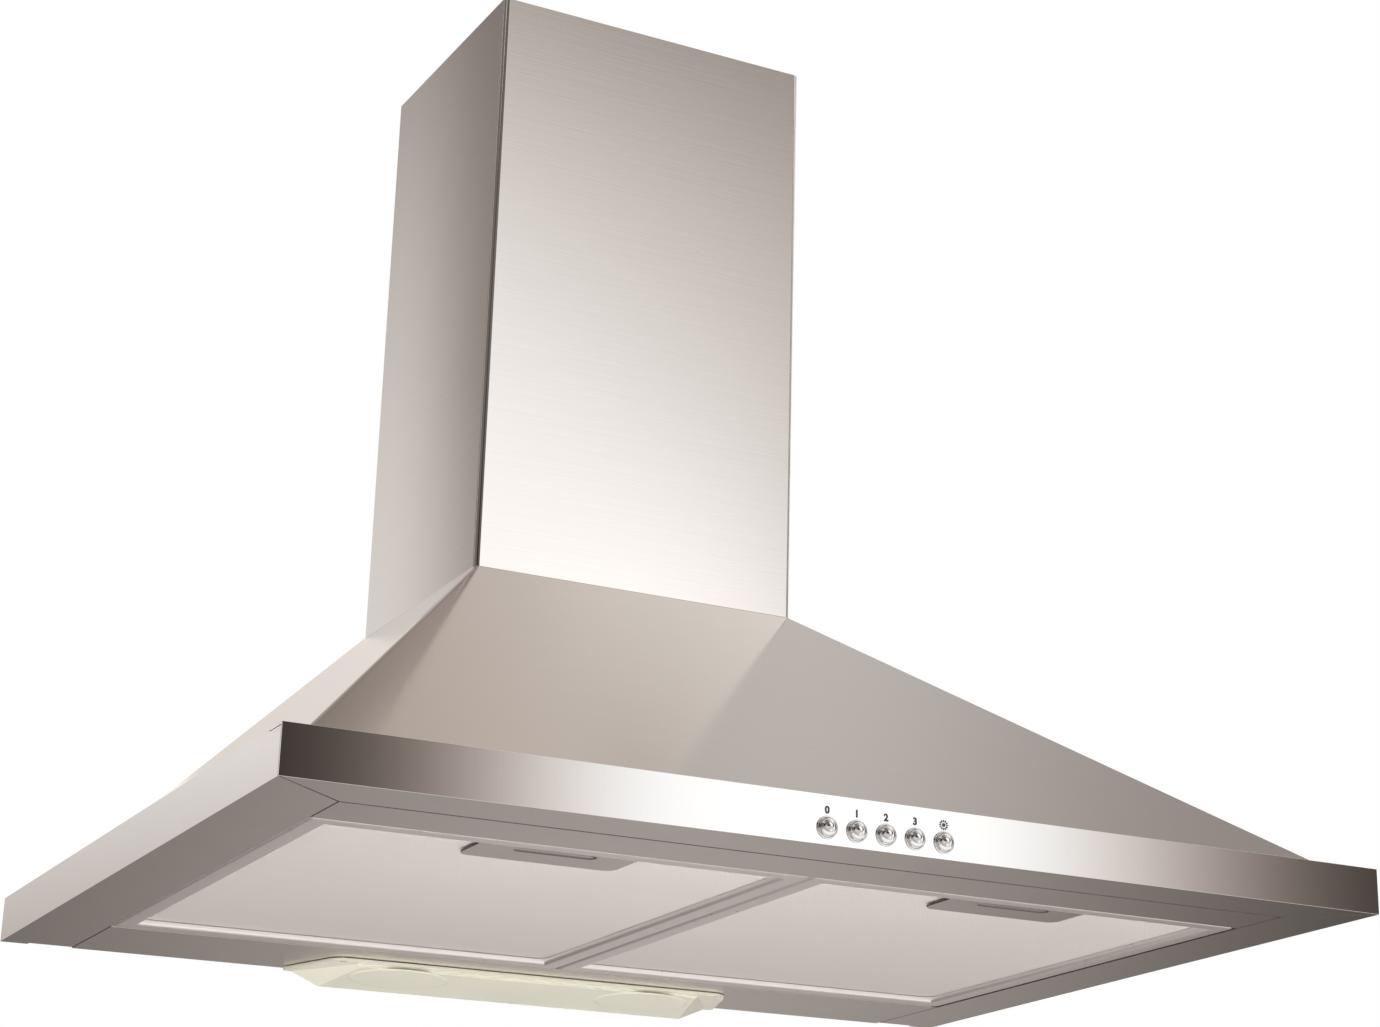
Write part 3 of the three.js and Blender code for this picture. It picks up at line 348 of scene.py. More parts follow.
glassLook = {"colour": (0.96, 0.95, 0.92, 1), "dark": 0.97, "rough": (0.27, 0.43), "clear": 0.8,
             "grain": 600.0, "bump": 0.05, "deep": 0.1 * mm}


def glassMaterial(name, look):
    material, tree, shader = blankMaterial(name)
    mould = useGroup(tree, "mould", Scale=look["grain"])
    base = look["colour"]
    tone = mixColour(tree, mould["Tone"], toned(base, look["dark"]), base)
    gloss = spread(tree, mould["Tone"], *look["rough"])
    setInputs(tree, shader, {"Base Color": tone, "Roughness": gloss,
                             "Transmission Weight": look["clear"]})
    addBump(tree, shader, mould["Height"], look["bump"], look["deep"])
    return material


finish = {name: metalMaterial(name, look) for name, look in metals.items()}
finish.update({name: plasticMaterial(name, look) for name, look in plastics.items()})
finish["zinc"] = zincMaterial("zinc", zincLook)
finish["filterMesh"] = meshMaterial("filterMesh", meshLook)
finish["lampGlass"] = glassMaterial("lampGlass", glassLook)
finishOfSlot = {
    "brushed_steel": "steelLevel", "polished_steel": "polishedSteel", "galvanised": "zinc",
    "filter_aluminium": "frameAluminium", "chrome": "chrome", "lamp_plastic": "lampPlastic",
    "black_plastic": "blackPlastic", "grey_plastic": "greyPlastic",
    "white_plastic": "whitePlastic", "lamp_glass": "lampGlass",
}
print("materials made:", len(finish))

# Mesh helpers. Points of a copied or turned mesh merge when they are this close, in mm, and
# faces join when they are this flat, in degrees. Level and upright are heights of a normal.
limits = {"copied": 0.004, "turned": 0.002, "flat": 0.5, "sharp": 30.0, "foot": 0.05,
          "level": 0.95, "upright": 0.3}


def boxOf(node):
    low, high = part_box(node)
    return low, high, (low + high) / 2


def isLevel(face):
    return abs(face.normal.z) > limits["level"]


def isUpright(face):
    return abs(face.normal.z) < limits["upright"]


def onlyKind(items, kind):
    return [item for item in items if isinstance(item, kind)]


def roundEdges(bm, offset, segments, sharper=limits["sharp"], chosen=None):
    edges = [edge for edge in bm.edges
             if edge.is_manifold and edge.calc_face_angle(0) > math.radians(sharper)]
    if chosen:
        edges = [edge for edge in edges if chosen(edge)]
    bmesh.ops.bevel(bm, geom=edges, offset=offset * mm, offset_type="OFFSET", segments=segments,
                    profile=0.5, affect="EDGES", clamp_overlap=True, material=-1)


def copyOfNode(name):
    bm = bmesh.new()
    bm.from_mesh(nodes[name].data)
    bmesh.ops.remove_doubles(bm, verts=bm.verts, dist=limits["copied"] * mm)
    bmesh.ops.dissolve_limit(bm, angle_limit=math.radians(limits["flat"]), verts=bm.verts,
                             edges=bm.edges)
    return bm


# Turns an outline of (radius, distance along the axis) round a centre
def spun(points, centre, axis, steps):
    bm = bmesh.new()
    side = Vector((0, 0, 1)) if abs(axis.z) < 0.5 else Vector((1, 0, 0))
    verts = [bm.verts.new(centre + side * radius * mm + axis * along * mm)
             for radius, along in points]
    edges = [bm.edges.new(pair) for pair in zip(verts, verts[1:])]
    bmesh.ops.spin(bm, geom=verts + edges, cent=centre, axis=axis, angle=math.tau, steps=steps,
                   use_merge=True)
    bmesh.ops.remove_doubles(bm, verts=bm.verts, dist=limits["turned"] * mm)
    bmesh.ops.recalc_face_normals(bm, faces=bm.faces)
    return bm


def addBox(bm, size, place):  # size in mm
    scale = Matrix.Diagonal((*[length * mm for length in size], 1))
    bmesh.ops.create_cube(bm, size=1.0, matrix=place @ scale)


def addPiece(bm, name, materials, node=None, smooth=40.0, weighted=True):
    mesh = bpy.data.meshes.new(name)
    bm.to_mesh(mesh)
    bm.free()
    for material in materials:
        mesh.materials.append(finish[material])
    mesh.shade_smooth()
    mesh.set_sharp_from_angle(angle=math.radians(smooth))
    piece = bpy.data.objects.new(name, mesh)
    bpy.context.scene.collection.objects.link(piece)
    if weighted:
        normals = piece.modifiers.new("normals", "WEIGHTED_NORMAL")
        normals.keep_sharp = True
    if node:  # a piece that stands for no CAD node stays on the hood
        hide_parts(node)
    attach(piece, bodyOf.get(node, "hood"))


# Where the sheets meet under the rim, in mm: heights, and places from the middle and the wall
seam = {"floor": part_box("front_strip")[0].z / mm, "tall": 1.2, "inner": 259.5, "outer": 298.5,
        "front": 420.5, "fold": 453.5, "under": -100.0, "longFold": 50.0}


def seamFace(face):  # the narrow walls and bends where the level sheets underneath meet
    spot = face.calc_center_median() / mm
    if spot.z > seam["floor"] + seam["tall"] or isLevel(face):
        return False
    if abs(spot.x) > seam["outer"] or spot.y < -seam["fold"]:
        return False
    return spot.y < -seam["front"] or abs(spot.x) > seam["inner"] and isUpright(face)


def seamEdge(edge):  # the lower edges along the mitres and along the front strip
    spot = (edge.verts[0].co + edge.verts[1].co) / 2 / mm
    lowest = max(vert.co.z for vert in edge.verts) / mm < seam["floor"] + limits["foot"]
    return lowest and abs(spot.x) < seam["outer"] and -seam["fold"] < spot.y < -seam["front"]


def foldEdge(edge):  # the two long slanting folds of the pyramid
    run = edge.verts[0].co - edge.verts[1].co
    return min(abs(run.x), abs(run.y), abs(run.z)) > seam["longFold"] * mm


def flangeFace(face):  # 1 for the level sheets under the rim, 2 for the seams between them
    if seamFace(face):
        return 2
    return int(isLevel(face) and face.calc_center_median().z < seam["under"] * mm)


def stripFace(face):
    return int(seamFace(face))


# Bevels are given as (offset, segments)
def refine(node, bevel=None, material=None, sort=None, extra=(), settle=0.0, joint=None,
           fold=None, smooth=40.0):
    bm = copyOfNode(node)
    if settle:
        lowest = min(vert.co.z for vert in bm.verts)
        foot = [vert for vert in bm.verts if vert.co.z < lowest + limits["foot"] * mm]
        bmesh.ops.translate(bm, vec=(0, 0, -settle * mm), verts=foot)
    if fold:
        roundEdges(bm, *fold, chosen=foldEdge)
    if joint:
        roundEdges(bm, *joint, chosen=seamEdge)
    if bevel:
        roundEdges(bm, *bevel)
    if sort:
        for face in bm.faces:
            face.material_index = sort(face)
    names = [material or finishOfSlot[slotOf[node]], *extra]
    addPiece(bm, node + "_visual", names, node, smooth=smooth, weighted=bool(bevel))


# Sheet metal: settle lets the foot of a sheet down into what carries it
sheets = {
    "canopy_shell": {"bevel": (0.4, 3), "joint": (0.4, 4), "fold": (2.2, 5), "smooth": 20,
                     "sort": flangeFace, "extra": ["steelAlongY", "seamShade"]},
    "front_fascia": {"bevel": (0.6, 3), "joint": (0.6, 4), "sort": flangeFace,
                     "extra": ["steelAlongX", "seamShade"]},
    "lower_chimney": {"bevel": (0.15, 2), "settle": 0.22},
    "upper_chimney": {"bevel": (0.15, 2)},
    "front_strip": {"bevel": (0.25, 2), "joint": (0.6, 4), "material": "steelAlongX",
                    "sort": stripFace, "extra": ["seamShade"]},
    "rear_strip": {"bevel": (0.12, 2), "material": "steelAlongX", "sort": stripFace,
                   "extra": ["seamShade"]},
    "back_panel": {"bevel": (0.2, 1)},
    "chimney_wall_bracket": {"bevel": (0.3, 2)},
    "switch_bracket": {"bevel": (0.2, 1)},
    "motor_bracket": {"bevel": (0.3, 1)},
    "lamp_tray": {"bevel": (0.25, 1)},
}
for node, look in sheets.items():
    refine(node, **look)
print("sheet metal done")

# Moulded and turned parts inside, and the ones that are too fine to be rounded
innerParts = {
    "blower_housing_left": {"bevel": (0.6, 2)}, "blower_housing_right": {"bevel": (0.6, 2)},
    "switch_housing": {"bevel": (0.6, 2)}, "terminal_box": {"bevel": (0.6, 2)},
    "terminal_box_lid": {"bevel": (0.6, 2)}, "duct_collar": {"bevel": (0.4, 2)},
    "cable_gland": {"bevel": (0.4, 2)}, "damper_flap_left": {"bevel": (0.2, 2)},
    "damper_flap_right": {"bevel": (0.2, 2)}, "capacitor": {"bevel": (1.2, 2)},
    "lamp_holder_left": {"bevel": (0.8, 2)}, "lamp_holder_right": {"bevel": (0.8, 2)},
    "motor_body": {"bevel": (2.5, 2)}, "impeller": {}, "damper_pin": {}, "switch_cable": {},
    "lamp_cable": {}, "motor_cable": {}, "latch_spring_left": {}, "latch_spring_right": {},
    "motor_shaft": {"bevel": (0.4, 1), "material": "turnedSteel"},
    "latch_guide_left": {"bevel": (0.2, 1)}, "latch_guide_right": {"bevel": (0.2, 1)},
    "cover_screw_left": {"bevel": (0.25, 2), "material": "turnedSteel"},
    "cover_screw_right": {"bevel": (0.25, 2), "material": "turnedSteel"},
}
for node, look in innerParts.items():
    refine(node, **look)
print("inner parts done")

# Push buttons: a domed cap on a stem, in a rounded bezel
button = {"dome": 4.45, "tip": 4.6, "shoulder": 1.5, "steps": 10, "turn": 48,
          "stem": [(4.45, -1.1), (4.25, -0.9), (4.25, -0.7), (4.6, -0.45), (4.6, 6.0),
                   (2.0, 6.0), (2.0, 13.5), (0.0, 13.5)]}
bezel = {"deep": 2.5, "turn": 48,
         "outline": [(4.75, 2.5), (4.75, -0.4), (4.85, -0.72), (5.1, -0.9), (5.35, -0.84),
                     (5.55, -0.6), (5.6, -0.3), (5.6, -0.03), (5.1, -0.03), (5.1, 2.5),
                     (4.75, 2.5)]}


def buttonOutline(look):
    dome = []
    for step in range(look["steps"] + 1):
        angle = math.pi / 2 * step / look["steps"]
        rise = (look["tip"] - look["shoulder"]) * math.cos(angle)
        dome.append((look["dome"] * math.sin(angle), -look["shoulder"] - rise))
    return dome + look["stem"]


for node in ("stop", "low", "middle", "high", "lamp"):
    low, high, centre = boxOf("bezel_" + node)
    centre.y = high.y - bezel["deep"] * mm
    cap = spun(buttonOutline(button), centre, Vector((0, 1, 0)), button["turn"])
    addPiece(cap, "cap_" + node, ["chrome"], "button_" + node, smooth=50, weighted=False)
    ring = spun(bezel["outline"], centre, Vector((0, 1, 0)), bezel["turn"])
    addPiece(ring, "ring_" + node, ["chrome"], "bezel_" + node, smooth=50, weighted=False)
print("buttons done")

# Marks printed above the buttons: a figure for each speed, and a disc with petals for the lamps
marks = {"figures": {"stop": "0", "low": "1", "middle": "2", "high": "3"}, "height": 3.4,
         "textSize": 1.42, "bold": 0.27, "rise": 8.6, "proud": 0.04, "disc": 1.0, "turn": 24,
         "petals": 12, "petal": (0.72, 1.1), "petalOut": 2.0}


def markPlace(node, rise, proud):  # a spot before the fascia's face, above a button
    place = boxOf("bezel_" + node)[2]
    place.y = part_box("front_fascia")[0].y - proud * mm
    place.z += rise * mm
    return Matrix.Translation(place)


def buttonMarks(look):
    bm = bmesh.new()
    upright = Matrix.Rotation(math.pi / 2, 4, "X")
    rise, proud = look["rise"], look["proud"]
    for node, figure in look["figures"].items():
        text = bpy.data.curves.new("mark_" + node, "FONT")
        text.body = figure
        text.size = look["height"] * look["textSize"] * mm
        text.align_x = "CENTER"
        text.offset = look["bold"] * mm
        text.extrude = proud * mm
        holder = bpy.data.objects.new("mark_" + node, text)
        shape = holder.to_mesh()
        shape.transform(markPlace(node, rise - look["height"] / 2, proud) @ upright)
        bm.from_mesh(shape)
        holder.to_mesh_clear()
        bpy.data.objects.remove(holder)
    centre = markPlace("lamp", rise, proud)
    radius = look["disc"] * mm
    bmesh.ops.create_cone(bm, cap_ends=True, segments=look["turn"], radius1=radius,
                          radius2=radius, depth=2 * proud * mm, matrix=centre @ upright)
    wide, tall = look["petal"]
    for petal in range(look["petals"]):
        turn = Matrix.Rotation(math.tau * petal / look["petals"], 4, "Y")
        out = Matrix.Translation((0, 0, look["petalOut"] * mm))
        addBox(bm, (wide, 2 * proud, tall), centre @ turn @ out)
    return bm


addPiece(buttonMarks(marks), "button_marks", ["printInk"], smooth=30, weighted=False)
print("marks done")

# Grease filters: a mitred frame, drawn as (distance inwards, height, cut of the corner) from its
# outer edge. The faces of the open inner corner between the two heights of the notch are painted
# shade.
filterFrame = {
    "outline": [(0.0, 9.6, 2.9), (0.0, 1.9, 2.9), (0.14, 1.17, 2.8), (0.56, 0.56, 2.3),
                (1.17, 0.14, 1.6), (1.9, 0.0, 0.9), (9.1, 0.0, 0.3), (10.2, 0.23, 0.3),
                (11.15, 0.85, 0.3), (11.77, 1.8, 0.3), (12.0, 2.9, 0.6), (12.0, 3.1, 4.2),
                (7.0, 3.1, 4.2), (7.0, 9.8, 1.0), (12.0, 9.8, 1.0), (12.0, 11.0, 0.6),
                (1.4, 11.0, 3.0), (0.4, 10.6, 4.0)],
    "notch": (2.85, 3.15), "slanting": 0.3,
    "tab": (16.0, 9.0, 1.0), "tabReach": 8.0, "tabHeight": 2.9, "tabOut": 80.0,
}


def cornerLoop(halfX, halfY, inwards, cut):
    x, y = halfX - inwards, halfY - inwards
    quarter = [(x, y - cut), (x - cut, y)]
    loop = quarter + [(-a, b) for a, b in reversed(quarter)]
    return loop + [(-a, -b) for a, b in quarter] + [(a, -b) for a, b in reversed(quarter)]


def frameMembers(node, look):
    low, high, centre = boxOf(node)
    tabReach = look["tabReach"] * mm  # the CAD box takes in the two rear tabs
    centre.y -= tabReach / 2
    centre.z = low.z
    halfX, halfY = (high.x - low.x) / 2, (high.y - low.y - tabReach) / 2
    bm = bmesh.new()
    first, loop = None, None
    for inwards, height, cut in look["outline"]:
        places = [centre + Vector((x, y, height * mm))
                  for x, y in cornerLoop(halfX, halfY, inwards * mm, cut * mm)]
        if first is None:
            verts = [bm.verts.new(place) for place in places]
            first = loop = [bm.edges.new(pair) for pair in zip(verts, verts[1:] + verts[:1])]
            continue
        made = bmesh.ops.extrude_edge_only(bm, edges=loop)["geom"]
        following = {}
        for vert in onlyKind(made, bmesh.types.BMVert):
            older = next(edge.other_vert(vert) for edge in vert.link_edges
                         if edge.other_vert(vert) in verts)
            following[older] = vert
        verts = [following[vert] for vert in verts]
        for vert, place in zip(verts, places):
            vert.co = place
        loop = [edge for edge in onlyKind(made, bmesh.types.BMEdge)
                if edge.verts[0] in verts and edge.verts[1] in verts]
    bmesh.ops.bridge_loops(bm, edges=first + loop)
    bmesh.ops.recalc_face_normals(bm, faces=bm.faces)
    # painted shade: slanting corner faces within the notch get the dark seamShade finish
    lowest, highest = look["notch"]
    for face in bm.faces:
        height = (face.calc_center_median().z - low.z) / mm
        slanting = min(abs(face.normal.x), abs(face.normal.y)) > look["slanting"]
        if lowest < height < highest and slanting:
            face.material_index = 1
    for side in (-1, 1):  # tabs that hook over the rear strip
        spot = Vector((centre.x + side * look["tabOut"] * mm, high.y - look["tab"][1] / 2 * mm,
                       low.z + look["tabHeight"] * mm))
        addBox(bm, look["tab"], Matrix.Translation(spot))
    return bm


for side in ("left", "right"):
    node = "filter_frame_" + side
    addPiece(frameMembers(node, filterFrame), node + "_visual", ["frameAluminium", "seamShade"],
             node, smooth=50)

# Filter layers: corrugated sheet with its ribs from front to rear, cut out round the latch
filterSheet = {"pitch": 1.3, "wave": 0.09, "thick": 0.25, "steps": 5, "latchGap": 1.0}


def cutAcross(bm, place, normal):
    bmesh.ops.bisect_plane(bm, geom=bm.verts[:] + bm.edges[:] + bm.faces[:], plane_co=place,
                           plane_no=normal)


def corrugated(node, look):
    low, high, middle = boxOf(node)
    size = high - low
    ribs = round(size.x / (look["pitch"] * mm))
    bm = bmesh.new()
    bmesh.ops.create_grid(bm, x_segments=ribs * look["steps"], y_segments=1, size=0.5)
    bmesh.ops.scale(bm, vec=(size.x, size.y, 1), verts=bm.verts)
    for vert in bm.verts:
        share = (vert.co.x / size.x + 0.5) * ribs
        vert.co.z = look["wave"] * mm * math.cos(math.tau * share)
    bmesh.ops.translate(bm, vec=middle, verts=bm.verts)
    gap = Vector((look["latchGap"], look["latchGap"], 0)) * mm
    low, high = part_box("latch_guide_" + node.rsplit("_", 1)[1])
    low, high = low - gap, high + gap
    for x in (low.x, high.x):
        cutAcross(bm, (x, 0, 0), (1, 0, 0))
    cutAcross(bm, (0, high.y, 0), (0, 1, 0))
    inside = []
    for face in bm.faces:
        spot = face.calc_center_median()
        if low.x < spot.x < high.x and spot.y < high.y:
            inside.append(face)
    bmesh.ops.delete(bm, geom=inside, context="FACES")
    bmesh.ops.solidify(bm, geom=bm.faces[:], thickness=look["thick"] * mm)
    return bm


for layer in ("mesh_left", "mesh_right", "backing_left", "backing_right"):
    node = "filter_" + layer
    addPiece(corrugated(node, filterSheet), node + "_visual", ["filterMesh"], node, smooth=70,
             weighted=False)
print("filters done")

# Latch plates with a pressed finger slot. A step of the slot is (narrower, higher, moved).
latchPlate = {
    "plate": (82.0, 31.0), "corner": 6.0, "cornerSteps": 8, "sheet": 0.9, "deep": 5.8,
    "slot": (43.0, 8.0), "slotInset": 3.0, "slotTurn": 32,
    "steps": [(1.1, 0.3, (-0.4, 0.7)), (0.3, 0.12, (0.0, 0.0))],
    "tongue": (24.0, 2.0), "tongueUnder": 3.2, "tongueHeight": 3.7,
}


def pressedPlate(node, look):
    low, high, middle = boxOf(node)
    wide, deep = look["plate"]
    slotWide, slotDeep = look["slot"]
    tongue = high.y - low.y - deep * mm
    centre = Vector((middle.x, low.y + tongue + deep * mm / 2, low.z))
    slotY = (look["slotInset"] + slotDeep / 2 - deep / 2) * mm
    bm = bmesh.new()
    bmesh.ops.create_grid(bm, x_segments=1, y_segments=1, size=0.5)
    bmesh.ops.scale(bm, vec=(wide * mm, deep * mm, 1), verts=bm.verts)
    corners = [vert for vert in bm.verts if vert.co.y > 0]
    bmesh.ops.bevel(bm, geom=corners, offset=look["corner"] * mm, offset_type="OFFSET",
                    segments=look["cornerSteps"], profile=0.5, affect="VERTICES",
                    clamp_overlap=True, material=-1)
    bmesh.ops.delete(bm, geom=bm.faces[:], context="FACES_ONLY")
    ring = bmesh.ops.create_circle(bm, segments=look["slotTurn"], radius=slotDeep * mm / 2)["verts"]
    stretch = (slotWide - slotDeep) / 2 * mm
    for vert in ring:  # a circle drawn out to the slot's length, its middle points to the right
        vert.co.x += stretch if vert.co.x > -limits["copied"] * mm else -stretch
        vert.co.y += slotY
    loop = [edge for edge in bm.edges if edge.verts[0] in ring]
    bmesh.ops.triangle_fill(bm, use_beauty=True, use_dissolve=False, edges=bm.edges[:],
                            normal=(0, 0, -1))
    shadow = []
    for narrower, higher, moved in look["steps"]:
        made = bmesh.ops.extrude_edge_only(bm, edges=loop)["geom"]
        verts = onlyKind(made, bmesh.types.BMVert)
        for vert in verts:
            vert.co.x = vert.co.x * (1 - 2 * narrower / slotWide) + moved[0] * mm
            vert.co.y = slotY + (vert.co.y - slotY) * (1 - 2 * narrower / slotDeep) + moved[1] * mm
        bmesh.ops.translate(bm, vec=(0, 0, higher * mm), verts=verts)
        loop = [edge for edge in onlyKind(made, bmesh.types.BMEdge)
                if edge.verts[0] in verts and edge.verts[1] in verts]
        shadow = shadow or onlyKind(made, bmesh.types.BMFace)
    bmesh.ops.contextual_create(bm, geom=loop)
    for face in shadow:
        face.material_index = 1
    bmesh.ops.translate(bm, vec=centre, verts=bm.verts)
    bmesh.ops.recalc_face_normals(bm, faces=bm.faces)
    if max(bm.faces, key=lambda face: face.calc_area()).normal.z > 0:
        bmesh.ops.reverse_faces(bm, faces=bm.faces)
    bmesh.ops.solidify(bm, geom=bm.faces[:], thickness=look["sheet"] * mm)
    for face in bm.faces:  # painted shade: the plate's upright edges and the slot's walls are given the dark seamShade
        if isUpright(face):
            face.material_index = 1
    tongueWide, tongueThick = look["tongue"]
    reach = tongue + look["tongueUnder"] * mm
    spot = Vector((centre.x, low.y + reach / 2, low.z + look["tongueHeight"] * mm))
    addBox(bm, (tongueWide, reach / mm, tongueThick), Matrix.Translation(spot))
    return bm


for side in ("left", "right"):
    node = "latch_plate_" + side
    addPiece(pressedPlate(node, latchPlate), node + "_visual", ["steelAlongX", "seamShade"],
             node)
print("latches done")

# Lamp cover with a round lens over each lamp. The lens's rim is (distance inwards, share of the
# height that stands proud).
lampCover = {"edge": (1.2, 3), "sharper": 12.0, "down": -0.8, "forward": -0.05,
             "lens": 30.0, "turn": 64, "squash": 0.62, "lensX": 78.0, "lensY": -30.0,
             "proud": 0.5, "rim": [(2.2, 1.0), (1.2, 0.8), (0.5, 0.35)], "rimSunk": 0.05,
             "sunk": 0.3}


def coverWithLenses(look):
    bm = copyOfNode("lamp_cover")
    roundEdges(bm, *look["edge"], look["sharper"])
    slanting = [face for face in bm.faces
                if face.normal.z < look["down"] and face.normal.y < look["forward"]]
    main = max(slanting, key=lambda face: face.calc_area())
    normal = main.normal.copy()
    touch = main.calc_center_median()
    turn = Vector((0, 0, -1)).rotation_difference(normal).to_matrix().to_4x4()
    proud = look["proud"]
    outline = [(0.0, -proud)]
    outline += [(look["lens"] - inwards, -proud * share) for inwards, share in look["rim"]]
    outline += [(look["lens"], look["rimSunk"]), (0.0, look["sunk"])]
    for side in (-1, 1):
        lens = spun(outline, Vector((0, 0, 0)), Vector((0, 0, 1)), look["turn"])
        bmesh.ops.scale(lens, vec=(1, look["squash"], 1), verts=lens.verts)
        spot = Vector((side * look["lensX"] * mm, look["lensY"] * mm, 0))
        slope = normal.x * (spot.x - touch.x) + normal.y * (spot.y - touch.y)
        spot.z = touch.z - slope / normal.z
        bmesh.ops.transform(lens, matrix=Matrix.Translation(spot) @ turn, verts=lens.verts)
        shape = bpy.data.meshes.new("lens")
        lens.to_mesh(shape)
        lens.free()
        bm.from_mesh(shape)
        bpy.data.meshes.remove(shape)
    return bm


addPiece(coverWithLenses(lampCover), "lamp_cover_visual", ["lampPlastic"], "lamp_cover")

# Small tubular lamps: frosted glass and a turned metal cap with a screw thread. Bare is the
# plain length at each end of the thread.
lamp = {"glass": 12.0, "length": 52.0, "domeSteps": 8, "waist": (0.82, 3.0), "cap": 6.9,
        "collar": 1.0, "bare": (2.0, 3.0), "thread": 0.5, "crest": 0.9, "pitch": 1.9,
        "base": (1.5, 1.0), "contact": 2.0, "seat": 0.5, "turn": 40}


def lampOutline(look, total):
    glass, length, cap = look["glass"], look["length"], look["cap"]
    outline = []
    for step in range(look["domeSteps"] + 1):
        angle = math.pi / 2 * step / look["domeSteps"]
        outline.append((glass * math.sin(angle), glass * (1 - math.cos(angle))))
    neck = length - glass / 2
    share, drop = look["waist"]
    outline += [(glass, neck), (glass * share, neck + drop), (cap, length),
                (cap, length + look["collar"])]
    before, after = look["bare"]
    ridge = length + before
    while ridge < total - after:
        outline += [(cap - look["thread"], ridge), (cap, ridge + look["crest"])]
        ridge += look["pitch"]
    narrower, shorter = look["base"]
    return outline + [(cap - narrower, total - shorter), (look["contact"], total), (0.0, total)]


def tubeLamp(node, look):
    low, high, middle = boxOf(node)
    outward = Vector((1 if middle.x > 0 else -1, 0, 0))
    tip = Vector((low.x if middle.x > 0 else high.x, middle.y, middle.z))
    bm = spun(lampOutline(look, (high.x - low.x) / mm), tip, outward, look["turn"])
    for face in bm.faces:  # the cap is metal
        along = (face.calc_center_median() - tip).dot(outward) / mm
        face.material_index = int(along > look["length"] - look["seat"])
    return bm


for side in ("left", "right"):
    node = "bulb_" + side
    addPiece(tubeLamp(node, lamp), node + "_visual", ["lampGlass", "turnedSteel"], node,
             smooth=50, weighted=False)
print("lamps done")

# Any CAD node that is still shown takes its slot's finish
for name, node in nodes.items():
    if not node.hide_render:
        node.data.materials.clear()
        node.data.materials.append(finish[finishOfSlot[slotOf[name]]])


# Studio: pale floor, white surround, and cards that only show in the metal

def stagePlane(name, material, size, at, face=(0, 0, 0)):
    bm = bmesh.new()
    bmesh.ops.create_grid(bm, x_segments=1, y_segments=1, size=0.5)
    bmesh.ops.scale(bm, vec=(*size, 1), verts=bm.verts)
    mesh = bpy.data.meshes.new(name)
    bm.to_mesh(mesh)
    bm.free()
    mesh.materials.append(material)
    plane = bpy.data.objects.new(name, mesh)
    plane.location = at
    plane.rotation_euler = [math.radians(angle) for angle in face]
    bpy.context.scene.collection.objects.link(plane)


# Lift is the light that only the camera sees, which keeps the floor pale
floorLook = {"at": (0, 0, -4.2), "size": (26.0, 26.0), "colour": (0.80, 0.80, 0.80, 1),
             "rough": 0.8, "lift": 0.47}


def floorMaterial(look):
    material, tree, shader = blankMaterial("floor")
    setInputs(tree, shader, {"Base Color": look["colour"], "Roughness": look["rough"]})
    mirror = addNode(tree, "Emission", {"Color": white, "Strength": 1.0})
    path = addNode(tree, "LightPath").outputs
    mirrored = calc(tree, "MAXIMUM", path["Is Glossy Ray"], path["Is Transmission Ray"])
    strength = calc(tree, "MULTIPLY", path["Is Camera Ray"], look["lift"])
    lift = addNode(tree, "Emission", {"Color": white, "Strength": strength})
    pale = addNode(tree, "AddShader", {0: shader.outputs[0], 1: lift.outputs[0]})
    shown = addNode(tree, "MixShader", {0: mirrored, 1: pale.outputs[0], 2: mirror.outputs[0]})
    setInputs(tree, tree.nodes["Material Output"], {"Surface": shown.outputs[0]})
    return material


stagePlane("floor", floorMaterial(floorLook), floorLook["size"], floorLook["at"])

